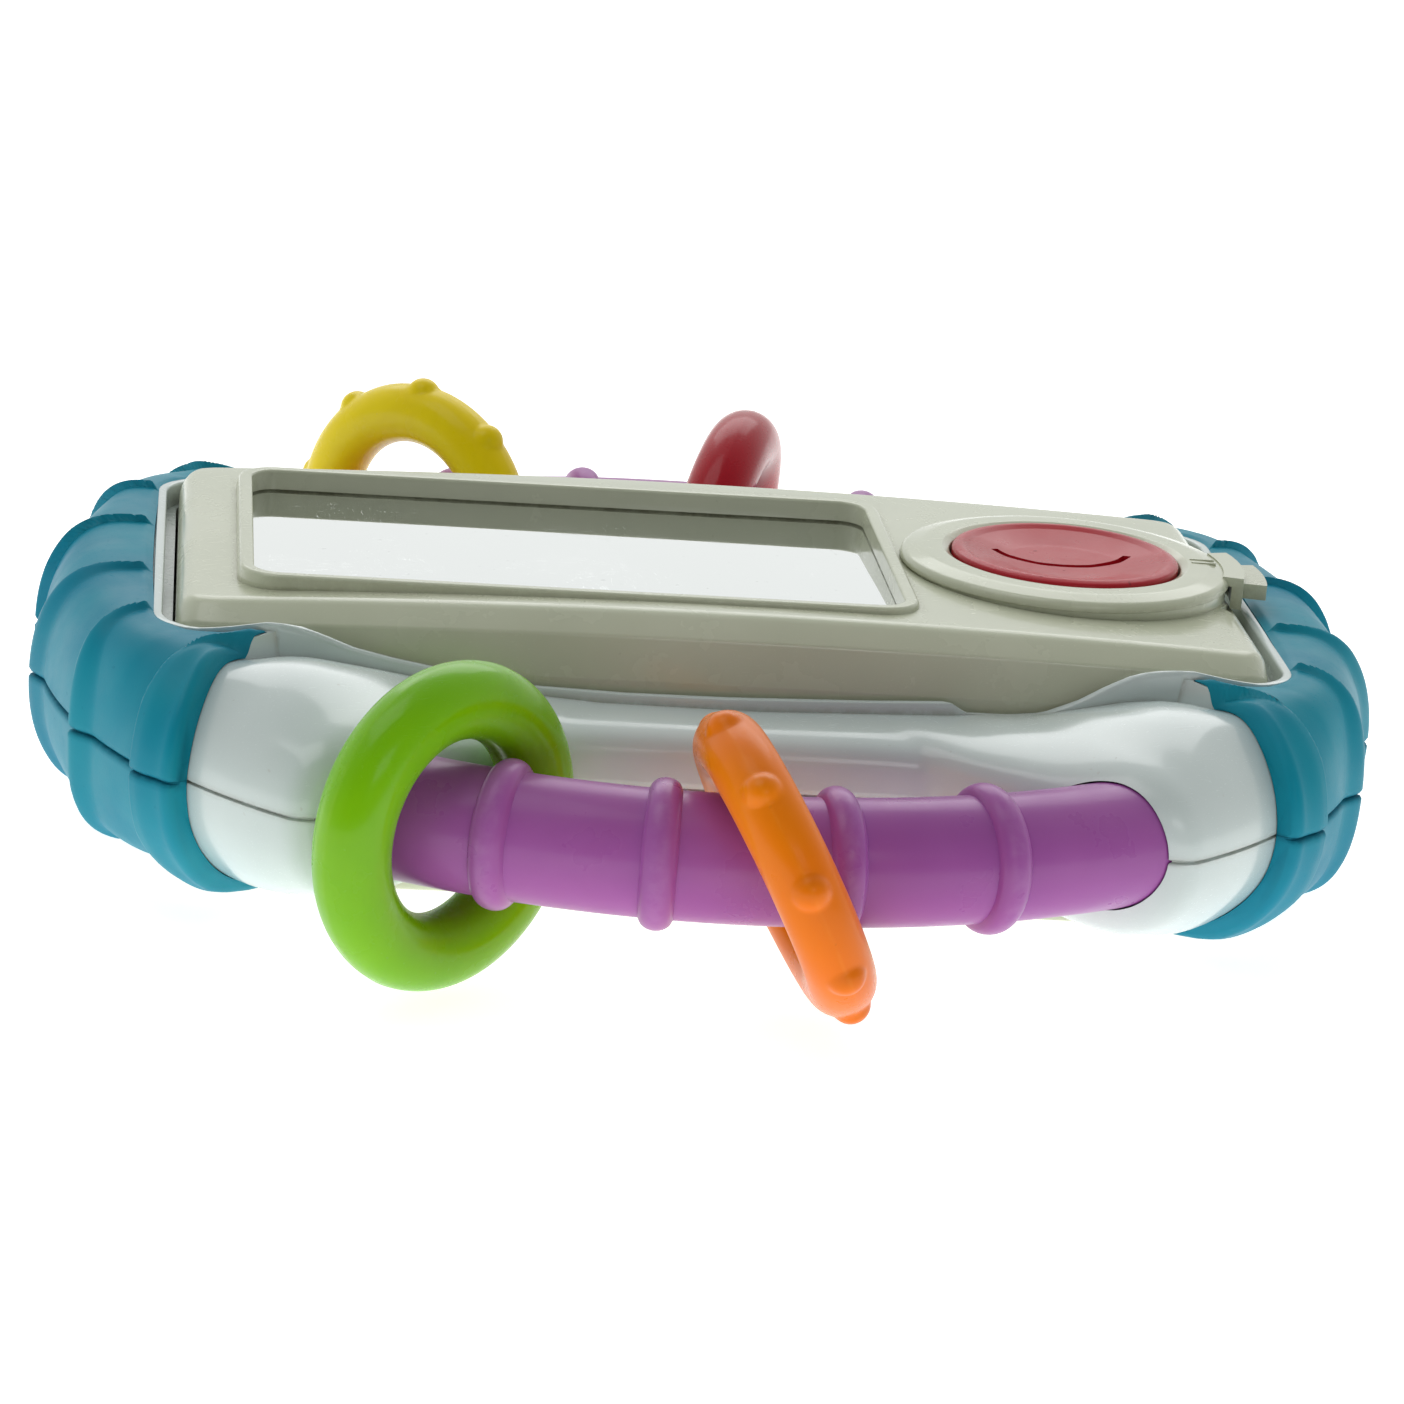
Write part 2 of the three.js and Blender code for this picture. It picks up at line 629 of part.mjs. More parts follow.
function selectorRing() {
  const seat = SELECTOR_SEAT + GAP;
  const flange = turned([
    [0, seat], [SELECTOR_OUTER, seat], [SELECTOR_OUTER, SELECTOR_TOP - 1.2],
    [SELECTOR_OUTER - 0.5, SELECTOR_TOP - 0.4], [SELECTOR_OUTER - 1.6, SELECTOR_TOP], [0, SELECTOR_TOP],
  ], 36);
  const neck = drum(SELECTOR_NECK, MIRROR_TOP, seat + 0.5, 36);
  const arm = sector(LEVER_INNER, LEVER_OUTER, LEVER_HALF_ANGLE, SEAM_Z + 21.1, SEAM_Z + 22.3);
  const drop = sector(SELECTOR_OUTER + 0.8, LEVER_OUTER, LEVER_HALF_ANGLE, SEAM_Z + 17.7, SEAM_Z + 22.3);
  const tongue = sector(LEVER_OUTER - 1, LEVER_TIP, LEVER_HALF_ANGLE - 5, SEAM_Z + 18.9, SEAM_Z + 20.6);
  const bore = drum(SELECTOR_INNER, 0, SELECTOR_TOP + THROUGH, 36);
  return join([flange, neck, arm, drop, tongue]).subtract(bore);
}

// Button with a dished top, a flange that keeps it in, and a stem over the contact.
function callButton() {
  const collarRadius = 18.9;
  const body = turned([
    [0, BUTTON_STEM_LOW], [3, BUTTON_STEM_LOW], [3, SEAM_Z + 19], [15, SEAM_Z + 19], [15, BUTTON_FLOOR],
    [collarRadius, BUTTON_FLOOR], [collarRadius, BUTTON_FLOOR + 1.6], [BUTTON_RADIUS, BUTTON_FLOOR + 1.6],
    [BUTTON_RADIUS, BUTTON_TOP - 0.7], [BUTTON_RADIUS - 0.8, BUTTON_TOP], [14.4, BUTTON_TOP - 0.3],
    [10, BUTTON_TOP - 1.5], [5, BUTTON_TOP - 2], [0, BUTTON_TOP - 2.1],
  ]);
  return body.subtract(sector(9.6, 10.9, 42, BUTTON_TOP - 2.2, BUTTON_TOP + 1, 0, -90));
}

// ---- inside parts ----

class Helix extends THREE.Curve {
  constructor(radius, low, high, turns) {
    super();
    Object.assign(this, { radius, low, high, turns });
  }

  getPoint(t, target = new THREE.Vector3()) {
    const angle = t * this.turns * TURN;
    const z = mix(this.low, this.high, t);
    return target.set(this.radius * Math.cos(angle), this.radius * Math.sin(angle), z);
  }
}

function buttonSpring() {
  const low = BOARD_Z + BOARD_THICKNESS + 1;
  return rod(new Helix(SPRING_RADIUS, low, SEAM_Z + 18, SPRING_TURNS), SPRING_WIRE, 44, 3);
}

function circuitBoard() {
  const board = block(27, 70.5, -24, 24, 0, BOARD_THICKNESS);
  return cut(board, BOARD_CORNERS.map((xy) => drum(1, -1, BOARD_THICKNESS + 1, 10, xy)));
}

function soundChip() {
  return turned([[0, 0], [5, 0], [4.4, 0.9], [2.5, 1.6], [0, 1.8]], 16);
}

function speakerCone() {
  const outer = turned([
    [0, 2.6], [SPEAKER_RADIUS, 2.6], [SPEAKER_RADIUS, 4.2], [15, 4.6], [9, 9.4], [0, 9.4],
  ], 24);
  const dish = turned([[0, 2], [15.5, 2], [15.5, 3.2], [7, 8.2], [0, 8.2]], 24);
  return outer.subtract(dish);
}

function battery() {
  return turned([
    [0, -BATTERY_HALF + 0.1], [6.6, -BATTERY_HALF], [BATTERY_RADIUS, -BATTERY_HALF + 0.6],
    [BATTERY_RADIUS, BATTERY_HALF - 2], [6.6, BATTERY_HALF - 1.4], [2.7, BATTERY_HALF - 1.4],
    [2.7, BATTERY_HALF], [0, BATTERY_HALF],
  ], 16);
}

// Sprung plate with a bump towards each battery, on its +X face.
function batteryContact() {
  const contactPlate = block(-0.3, 0.3, -14.5, 14.5, -5.6, 6.4);
  const bumps = [-BATTERY_PITCH, BATTERY_PITCH].map((y) => {
    return solidFrom(new THREE.CylinderGeometry(2.2, 2.2, 1, 12).rotateZ(QUARTER).translate(0.5, y, 0));
  });
  return join([contactPlate, ...bumps]);
}

function batteryDoor() {
  const door = slab(DOOR_HALF_X, DOOR_HALF_Y, 2.7, GAP, 2.2);
  const sink = drum(3.3, -2, 1.6, 16, [DOOR_SCREW_X, 0]);
  const bore = drum(1.75, -2, 5, 12, [DOOR_SCREW_X, 0]);
  const grooves = [0, 1, 2].map((i) => block(i * 3 - 28.5, i * 3 - 27, -9, 9, -1, 0.9));
  return cut(door, [sink, bore, ...grooves]);
}

function lead(points) {
  const route = new THREE.CatmullRomCurve3(points.map((point) => new THREE.Vector3(...point)));
  return rod(route, LEAD_RADIUS, 9, 3);
}

// ---- the whole toy ----

const WHITE = 0xe4e6dc;
const CREAM = 0xcdceb4;
const TEAL = 0x1f7f96;
const PURPLE = 0x7a3a80;
const STEEL = 0xb9bcc0;

addMesh(part, "frame_upper", frameUpper(), WHITE, 0.3);
addMesh(part, "frame_lower", frameLower(), WHITE, 0.3);
for (const [end, place] of [[1, "right"], [-1, "left"]]) {
  addMesh(part, `grip_${place}_upper`, grip(end, 1), TEAL, 0.75);
  addMesh(part, `grip_${place}_lower`, grip(end, -1), TEAL, 0.75);
}
addMesh(part, "front_bar", bar(-1), PURPLE, 0.35);
addMesh(part, "back_bar", bar(1), PURPLE, 0.35);
addRing("green_ring", { front: -1, slot: -24.6, swing: -22, nubbed: false, color: 0x6fb01a });
addRing("orange_ring", { front: -1, slot: 2.5, swing: 5, lean: -27.3, nubbed: true, color: 0xee7a0c });
addRing("yellow_ring", { front: 1, slot: -24, swing: 24.5, drop: -2.2, nubbed: true, color: 0xd8b60a });
addRing("red_ring", { front: 1, slot: 6, swing: -11, lean: 8, drop: 1.5, nubbed: false, color: 0xa82030 });

addMesh(part, "phone_front_cover", frontCover(), CREAM, 0.3);
addMesh(part, "phone_rear_cover", rearCover(), CREAM, 0.35);
addMesh(groupAt(WINDOW_X, 0, MIRROR_TOP), "mirror", mirror(), 0xdfe6e8, 0.05, 0.9);

const call = groupAt(BUTTON_X, 0, 0);
addMesh(call, "selector_ring", selectorRing(), CREAM, 0.3);
addMesh(call, "call_button", callButton(), 0xa83540, 0.4);
addMesh(call, "contact_pad", drum(4, SEAM_Z + 7.9, SEAM_Z + 8.7, 16), 0x2a2a2c, 0.8);
addMesh(call, "button_spring", buttonSpring(), STEEL, 0.3, 0.9);
addMesh(call, "speaker_cone", speakerCone(), 0x2c2c30, 0.6);
addMesh(call, "speaker_magnet", drum(8.5, 9.7, 15.5), 0x8c8f94, 0.4, 0.8);

const electronics = groupAt(0, 0, BOARD_Z);
addMesh(electronics, "circuit_board", circuitBoard(), 0x2f6b3a, 0.5);
const chip = addMesh(electronics, "sound_chip", soundChip(), 0x161616, 0.4);
chip.position.set(BUTTON_X - 18, 12, BOARD_THICKNESS + GAP);

const power = groupAt(BATTERY_X, 0, BATTERY_Z);
for (const [name, row] of [["battery_front", -1], ["battery_back", 1]]) {
  const cell = addMesh(power, name, battery(), 0x3b5f8a, 0.35, 0.3);
  cell.position.y = row * BATTERY_PITCH;
  cell.rotation.y = row * QUARTER;
}
for (const [name, end] of [["battery_contact_left", -1], ["battery_contact_right", 1]]) {
  const contact = addMesh(power, name, batteryContact(), STEEL, 0.3, 0.9);
  contact.position.x = end * (BATTERY_HALF + 1.5);
  contact.rotation.z = end > 0 ? Math.PI : 0;
}
const door = groupAt(DOOR_X, 0, 0);
addMesh(door, "battery_door", batteryDoor(), CREAM, 0.35);
addMesh(door, "battery_door_screw", screw(3, 0.95, 7.65), STEEL, 0.3, 0.9)
  .position.set(DOOR_SCREW_X, 0, 0.35);

FRAME_SCREWS.forEach(([x, y], i) => {
  addMesh(part, `frame_screw_${i + 1}`, screw(3, 1.65, 17.8), STEEL, 0.3, 0.9)
    .position.set(x, y, SEAM_Z - 9.8);
});
CASE_SCREWS.forEach(([x, y], i) => {
  addMesh(part, `case_screw_${i + 1}`, screw(3, 1.9, 13.8), STEEL, 0.3, 0.9).position.set(x, y, 3.2);
});

const LEADS = {
  speaker_lead_red: [[64.5, 4, 12], [68, 9, 16], [70, 10, 22], [66, 10, 28.2]],
  speaker_lead_black: [[64.5, -4, 12], [68, -9, 16], [70, -10, 22], [66, -10, 28.2]],
  battery_lead_red: [[-10.2, 6, 14], [-2, 8, 20], [14, 8, 27], [33, 8, 28]],
  battery_lead_black: [[-10.2, -6, 14], [-2, -8, 20], [14, -8, 27], [33, -8, 28]],
};
for (const [name, points] of Object.entries(LEADS)) {
  addMesh(part, name, lead(points), name.endsWith("red") ? 0xb02020 : 0x181818, 0.5);
}

export default part;
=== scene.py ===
import math

import bmesh
import bpy
import numpy as np
from mathutils import Matrix, Vector


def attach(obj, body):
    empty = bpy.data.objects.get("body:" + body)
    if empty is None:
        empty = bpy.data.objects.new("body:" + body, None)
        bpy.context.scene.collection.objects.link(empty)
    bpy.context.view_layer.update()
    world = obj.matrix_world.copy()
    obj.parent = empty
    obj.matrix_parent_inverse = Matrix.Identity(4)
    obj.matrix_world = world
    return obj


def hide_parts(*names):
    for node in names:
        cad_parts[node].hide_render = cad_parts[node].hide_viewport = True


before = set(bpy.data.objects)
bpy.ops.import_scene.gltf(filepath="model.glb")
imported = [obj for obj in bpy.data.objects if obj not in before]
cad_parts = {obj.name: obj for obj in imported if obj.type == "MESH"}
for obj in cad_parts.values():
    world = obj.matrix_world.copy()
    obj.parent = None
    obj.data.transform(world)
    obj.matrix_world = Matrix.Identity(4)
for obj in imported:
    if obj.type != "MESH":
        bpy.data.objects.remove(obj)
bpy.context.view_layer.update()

scene = bpy.context.scene
MM = 0.001
TAU = 2 * math.pi

# Shared sizes in millimetres, in the CAD frame
SEAM_Z = 25.0
HALF_GAP = 0.15
WALL = 2.2
FRAME_HALF = 95.8
FRAME_POWER = 2.2
OPEN_HALF_X, OPEN_HALF_Y, OPEN_RADIUS = 81.3, 41.6, 8.0
WAIST_HALF_Y = 55.0
LIP_WIDTH = 1.5
GRIP_END = 39.0
GRIP_SHRINK, LOWER_GRIP_SHRINK = 0.16, 0.11
BAR_ARC = 99.8
BAR_PIVOT_Y = 84.5 - BAR_ARC
BAR_RADIUS, COLLAR_RADIUS, COLLAR_HALF = 8.9, 10.5, 2.25
BAR_END_ANGLE = 34.5
COLLAR_ANGLES = [-19.7, -7.2, 6.5, 19.2]
RING_RADIUS, SMOOTH_TUBE, NUBBED_TUBE = 17.9, 5.4, 4.75
NUB_RADIUS, NUB_COUNT, NUB_BLEND = 2.8, 9, 0.09
RING_DROP = 0.3
PHONE_HALF_X, PHONE_HALF_Y, PHONE_CROWN = 79.4, 41.1, 2.0
WINDOW_X, WINDOW_HALF_X, WINDOW_HALF_Y = -21.1, 47.4, 29.0
MIRROR_TOP = 43.3
BUTTON_X, BUTTON_RADIUS, BUTTON_TOP = 53.8, 17.15, 48.4
SELECTOR_INNER, SELECTOR_OUTER, SELECTOR_TOP, SELECTOR_SEAT = 17.5, 24.7, 47.9, 45.8


# ---------------------------------------------------------------- camera

CAMERA_LENS_MM = 135.3
CAMERA_PLACE = (-0.0841, -0.7606, 0.2509)
CAMERA_YAW, CAMERA_TILT, CAMERA_ROLL = -6.36, 73.32, 4.81

camera_data = bpy.data.cameras.new("camera")
camera_data.sensor_width = 36
camera_data.lens = CAMERA_LENS_MM
camera_data.clip_end = 20
camera = bpy.data.objects.new("camera", camera_data)
scene.collection.objects.link(camera)
camera.matrix_world = (
    Matrix.Translation(CAMERA_PLACE)
    @ Matrix.Rotation(math.radians(CAMERA_YAW), 4, "Z")
    @ Matrix.Rotation(math.radians(CAMERA_TILT), 4, "X")
    @ Matrix.Rotation(math.radians(CAMERA_ROLL), 4, "Z")
)
scene.camera = camera
scene.view_settings.view_transform = "Standard"


# ---------------------------------------------------------------- node helpers

def linear(r, g, b):
    """Scene-linear colour from 0-255 display values."""
    def channel(c):
        c /= 255
        return c / 12.92 if c <= 0.04045 else ((c + 0.055) / 1.055) ** 2.4
    return (channel(r), channel(g), channel(b), 1)


class Graph:
    """A material's node tree, with short calls for the nodes used here."""

    def __init__(self, name):
        self.material = bpy.data.materials.new(name)
        self.material.use_nodes = True
        self.tree = self.material.node_tree
        self.shader = self.tree.nodes["Principled BSDF"]
        self.place = self.add("TexCoord").node.outputs["Object"]

    def add(self, kind, inputs=(), output=0, **settings):
        node = self.tree.nodes.new("ShaderNode" + kind)
        for key, value in settings.items():
            setattr(node, key, value)
        for key, value in dict(inputs).items():
            if isinstance(value, bpy.types.NodeSocket):
                self.tree.links.new(value, node.inputs[key])
            else:
                node.inputs[key].default_value = value
        return node.outputs[output]

    def noise(self, size_mm, detail=3, roughness=0.55, stretch=None, distortion=0.0):
        place = self.place
        if stretch:
            place = self.add("Mapping", {"Vector": place, "Scale": stretch[0], "Rotation": stretch[1]},
                             vector_type="TEXTURE")
        return self.add("TexNoise", {
            "Vector": place, "Scale": 1000 / size_mm, "Detail": detail,
            "Roughness": roughness, "Distortion": distortion,
        })

    def range(self, value, low, high, to_low=0.0, to_high=1.0):
        return self.add("MapRange", {
            "Value": value, "From Min": low, "From Max": high, "To Min": to_low, "To Max": to_high,
        }, interpolation_type="SMOOTHSTEP")

    def math(self, operation, a, b=0.0, clamp=False):
        return self.add("Math", {0: a, 1: b}, operation=operation, use_clamp=clamp)

    def blend(self, share, a, b, mode="MIX"):
        return self.add("Mix", {0: share, 6: a, 7: b}, output=2, data_type="RGBA", blend_type=mode)

    def attribute(self, name):
        return self.add("Attribute", output=2, attribute_name=name)

    def bump(self, height, strength, distance_mm, normal=None):
        inputs = {"Height": height, "Strength": strength, "Distance": distance_mm * MM}
        if normal is not None:
            inputs["Normal"] = normal
        return self.add("Bump", inputs)

    def set(self, **values):
        for key, value in values.items():
            socket = self.shader.inputs[key.replace("_", " ")]
            if isinstance(value, bpy.types.NodeSocket):
                self.tree.links.new(value, socket)
            else:
                socket.default_value = value


def scratches(graph, size_mm, angle, cut):
    """Fine straight hairline scratches, from noise stretched along one direction."""
    streak = graph.noise(size_mm, 2, 0.5, stretch=((1, 0.04, 0.04), (0, 0, math.radians(angle))))
    patch = graph.noise(size_mm * 9, 2)
    lines = graph.range(streak, cut, cut + 0.05)
    return graph.math("MULTIPLY", lines, graph.range(patch, 0.45, 0.6))


def moulded(name, color, deep, rough=0.3, grime_and_shade=(112, 96, 62), grime_and_shade_share=0.75, wear=None,
            coat=0.0, grain=0.12, ripple=0.08, scatter=0.0, scatter_mm=4.0, crevice_shade=0.0, specular=0.5,
            rough_spread=0.12, specks=0.6):
    """Moulded plastic or rubber: drifting colour, grain, hairline scratches, soiling and painted shade from a
    point attribute, painted shade in crevices from ambient occlusion, and worn edges.
    """
    graph = Graph(name)
    drift = graph.noise(38, 3)
    base = graph.blend(graph.range(drift, 0.3, 0.7), linear(*color), linear(*deep))
    cloud = graph.noise(7, 4, 0.6)
    base = graph.blend(graph.range(cloud, 0.35, 0.75, 0, 0.22), base, linear(*deep))
    lines = graph.math("MAXIMUM", scratches(graph, 5, 20, 0.66), scratches(graph, 4, 118, 0.67))
    dirt_and_shade = graph.math("MULTIPLY", graph.attribute("grime_and_shade"),
                      graph.range(graph.noise(1.6, 4, 0.65), 0.25, 0.6, 0.25, 1.0))
    # Painted shade: ambient occlusion darkens crevices and recesses towards the blend colour, broken up by
    # noise.
    if crevice_shade:
        shade = graph.add("AmbientOcclusion", {"Distance": crevice_shade * MM}, output=1, samples=6)
        closed = graph.range(shade, 0.12, 0.55, 1, 0)
        broken = graph.range(graph.noise(3.2, 5, 0.65), 0.32, 0.66, 0.25, 0.85)
        dirt_and_shade = graph.math("MAXIMUM", dirt_and_shade, graph.math("MULTIPLY", closed, broken))
    speck = graph.range(graph.noise(1.1, 1, 0.5), 0.77, 0.8, 0, specks)
    dirt_and_shade = graph.math("MAXIMUM", dirt_and_shade, speck)
    # Soiling, specks and painted shade are blended towards one shared colour.
    base = graph.blend(graph.math("MULTIPLY", dirt_and_shade, grime_and_shade_share), base, linear(*grime_and_shade))
    worn = graph.attribute("wear")
    if wear:
        patchy = graph.math("MULTIPLY", worn, graph.range(graph.noise(2.4, 4, 0.6), 0.35, 0.65, 0.2, 1))
        base = graph.blend(patchy, base, linear(*wear))
    gloss = graph.range(graph.noise(11, 4, 0.6), 0.3, 0.7, rough, rough + rough_spread)
    gloss = graph.math("ADD", gloss, graph.math("MULTIPLY", lines, 0.22))
    gloss = graph.math("ADD", gloss, graph.math("MULTIPLY", dirt_and_shade, 0.35), clamp=True)
    height = graph.noise(0.45, 2, 0.6)
    normal = graph.bump(height, grain, 0.05)
    normal = graph.bump(graph.noise(14, 2, 0.5), ripple, 0.35, normal)
    normal = graph.bump(lines, 0.05, -0.02, normal)
    graph.set(Base_Color=base, Roughness=gloss, Normal=normal, Coat_Weight=coat, Coat_Roughness=0.06,
              Specular_IOR_Level=specular)
    if scatter:
        graph.set(Subsurface_Weight=scatter, Subsurface_Scale=scatter_mm * MM,
                  Subsurface_Radius=(1.0, 0.6, 0.35))
    return graph.material


def metal(name, color, rough, grain_mm=1.2, dark=None):
    """Bare metal with fine brushing and a little tarnish."""
    graph = Graph(name)
    tarnish = graph.range(graph.noise(4, 4, 0.6), 0.4, 0.75, 0, 0.6)
    base = graph.blend(tarnish, linear(*color), linear(*(dark or [c * 0.6 for c in color])))
    brushed = graph.noise(grain_mm, 2, 0.5, stretch=((1, 0.07, 0.07), (0, 0, 0)))
    graph.set(Base_Color=base, Metallic=1.0, Roughness=graph.range(brushed, 0.3, 0.7, rough, rough + 0.2),
              Normal=graph.bump(brushed, 0.15, 0.03))
    return graph.material


def mirror_finish():
    """Second-surface plastic mirror with hairlines, a few dark specks and a faint haze."""
    graph = Graph("mirror")
    lines = graph.math("MAXIMUM", scratches(graph, 3, 8, 0.64), scratches(graph, 2.6, 97, 0.66))
    haze = graph.range(graph.noise(9, 4, 0.6), 0.5, 0.8, 0, 0.35)
    speck = graph.range(graph.noise(1.3, 2, 0.5), 0.72, 0.76)
    zone = graph.attribute("wear")
    worn = graph.math("MULTIPLY", speck, graph.math("ADD", zone, 0.12), clamp=True)
    base = graph.blend(worn, linear(238, 240, 240), linear(70, 66, 60))
    base = graph.blend(graph.math("MULTIPLY", graph.attribute("grime_and_shade"), 0.8), base, linear(60, 58, 50))
    rough = graph.math("ADD", graph.math("MULTIPLY", haze, 0.12), graph.math("MULTIPLY", lines, 0.25))
    rough = graph.math("ADD", rough, 0.02, clamp=True)
    graph.set(Base_Color=base, Metallic=1.0, Roughness=rough,
              Normal=graph.bump(graph.noise(30, 2), 0.05, 0.2))
    return graph.material


WHITE = moulded("white_shell", (216, 226, 224), (206, 218, 216), rough=0.14, coat=0.35, grain=0.04,
                ripple=0.03, crevice_shade=2.2, grime_and_shade_share=0.6, specks=0.3)
CREAM = moulded("cream_case", (206, 210, 186), (198, 203, 178), rough=0.18, coat=0.3, grain=0.05,
                ripple=0.02, crevice_shade=2.0, grime_and_shade=(104, 92, 58), grime_and_shade_share=0.65, specks=0.15)
TEAL = moulded("teal_grip", (10, 148, 168), (2, 130, 158), rough=0.4, grain=0.3, specular=0.22,
               grime_and_shade=(6, 56, 84), grime_and_shade_share=0.6, wear=(70, 160, 178), specks=0.2)
PURPLE = moulded("purple_bar", (170, 94, 170), (158, 82, 160), rough=0.26, coat=0.1, specular=0.3,
                 wear=(190, 140, 190), grime_and_shade=(90, 40, 90), scatter=0.06, scatter_mm=2, specks=0.0)
GREEN = moulded("green_ring", (132, 198, 0), (118, 188, 0), rough=0.2, coat=0.15, specular=0.25,
                scatter=0.15, wear=(182, 216, 96), grime_and_shade=(70, 104, 14), specks=0.15)
ORANGE = moulded("orange_ring", (250, 136, 0), (242, 120, 0), rough=0.24, coat=0.08, specular=0.2,
                 wear=(255, 166, 60), grime_and_shade=(170, 80, 8), specks=0.15)
YELLOW = moulded("yellow_ring", (250, 224, 0), (244, 212, 0), rough=0.24, coat=0.08, specular=0.2,
                 wear=(250, 220, 90), grime_and_shade=(150, 116, 10), specks=0.15)
RED = moulded("red_ring", (186, 20, 40), (168, 12, 32), rough=0.2, coat=0.15, specular=0.25,
              wear=(214, 90, 96), grime_and_shade=(90, 12, 18), specks=0.15)
BUTTON = moulded("red_button", (190, 30, 46), (174, 22, 40), rough=0.26, coat=0.1, grain=0.2, specular=0.25,
                 wear=(206, 80, 92), grime_and_shade=(96, 22, 28))
STEEL = metal("steel", (176, 178, 182), 0.28)
SPRING = metal("spring_steel", (190, 190, 192), 0.2)
MAGNET = metal("magnet", (140, 143, 148), 0.35, 2.2)
MIRROR = mirror_finish()
BOARD = moulded("board", (40, 104, 58), (28, 84, 46), rough=0.4, ripple=0.05, wear=(150, 120, 60))
RESIN = moulded("black_resin", (26, 26, 28), (14, 14, 16), rough=0.2, coat=0.2)
RUBBER = moulded("black_rubber", (40, 40, 42), (26, 26, 28), rough=0.7, grain=0.4)
PAPER = moulded("speaker_paper", (44, 44, 48), (30, 30, 34), rough=0.8, grain=0.6)
CELL = moulded("cell", (62, 98, 146), (44, 80, 128), rough=0.3, coat=0.3)
RED_WIRE = moulded("red_wire", (176, 34, 34), (150, 24, 24), rough=0.4)
BLACK_WIRE = moulded("black_wire", (28, 28, 30), (18, 18, 20), rough=0.4)


# ---------------------------------------------------------------- mesh helpers

def smooth(low, high, value):
    t = np.clip((np.asarray(value, float) - low) / (high - low), 0, 1)
    return t * t * (3 - 2 * t)


def mix(a, b, t):
    return a + (b - a) * t


def link(name, points, faces):
    """New object from points in millimetres."""
    mesh = bpy.data.meshes.new(name)
    mesh.from_pydata((np.asarray(points, float) * MM).tolist(), [], faces)
    mesh.validate()
    obj = bpy.data.objects.new(name, mesh)
    scene.collection.objects.link(obj)
    return obj


def grid_faces(rows, columns, close_rows):
    index = np.arange(rows * columns).reshape(rows, columns)
    near = index if close_rows else index[:-1]
    far = np.roll(index, -1, 0) if close_rows else index[1:]
    faces = np.stack([near, far, np.roll(far, -1, 1), np.roll(near, -1, 1)], -1)
    return faces.reshape(-1, 4).tolist()


def loft(name, sections, closed=False):
    """Skin over rows of matching closed sections; an open row gets flat caps."""
    sections = np.asarray(sections, float)
    rows, columns, _ = sections.shape
    faces = grid_faces(rows, columns, closed)
    if not closed:
        faces.append(list(range(columns)))
        faces.append(list(range(rows * columns - 1, (rows - 1) * columns - 1, -1)))
    obj = link(name, sections.reshape(-1, 3), faces)
    face_out(obj)
    return obj


def face_out(obj):
    """Turns the faces outward."""
    work = bmesh.new()
    work.from_mesh(obj.data)
    bmesh.ops.recalc_face_normals(work, faces=work.faces)
    if work.calc_volume(signed=True) < 0:
        bmesh.ops.reverse_faces(work, faces=work.faces)
    work.to_mesh(obj.data)
    work.free()


def fillet(points, radii, step=0.25):
    """Polyline with its corners rounded to the given radii."""
    points = [np.array(p, float) for p in points]
    out = [points[0]]
    for before, corner, after, radius in zip(points, points[1:], points[2:], radii):
        a, b = before - corner, after - corner
        la, lb = np.linalg.norm(a), np.linalg.norm(b)
        a, b = a / la, b / lb
        half = math.acos(np.clip(a @ b, -1, 1)) / 2
        if radius <= 0 or half > 1.55:
            out.append(corner)
            continue
        reach = min(radius / math.tan(half), la * 0.49, lb * 0.49)
        radius = reach * math.tan(half)
        centre = corner + (a + b) / np.linalg.norm(a + b) * radius / math.sin(half)
        start, end = corner + a * reach - centre, corner + b * reach - centre
        sweep = math.pi - 2 * half
        count = max(3, int(radius * sweep / step))
        for i in range(count + 1):
            t = i / count
            arc = start * math.sin((1 - t) * sweep) + end * math.sin(t * sweep)
            out.append(centre + arc / math.sin(sweep))
    out.append(points[-1])
    return np.array(out)


def revolve(name, profile, centre=(0, 0), segments=160):
    """Body of revolution about Z. The profile is a closed loop, or starts and ends on the axis."""
    profile = np.asarray(profile, float)
    on_axis = profile[0][0] < 1e-6 and profile[-1][0] < 1e-6
    angles = np.arange(segments) / segments * TAU
    ring = profile[1:-1] if on_axis else profile
    points = np.stack([
        centre[0] + ring[None, :, 0] * np.cos(angles)[:, None],
        centre[1] + ring[None, :, 0] * np.sin(angles)[:, None],
        np.repeat(ring[None, :, 1], segments, 0),
    ], -1)
    count = len(ring)
    if not on_axis:
        return loft(name, points, closed=True)
    faces = []
    for i in range(segments):
        j = (i + 1) % segments
        for k in range(count - 1):
            faces.append([i * count + k, j * count + k, j * count + k + 1, i * count + k + 1])
    low, high = segments * count, segments * count + 1
    for i in range(segments):
        faces.append([low, ((i + 1) % segments) * count, i * count])
    for i in range(segments):
        faces.append([high, i * count + count - 1, ((i + 1) % segments) * count + count - 1])
    ends = [[*centre, profile[0][1]], [*centre, profile[-1][1]]]
    obj = link(name, np.vstack([points.reshape(-1, 3), ends]), faces)
    face_out(obj)
    return obj


def drum(x, y, radius, low, high, segments=48):
    return revolve("tool", [[0, low], [radius, low], [radius, high], [0, high]], (x, y), segments)


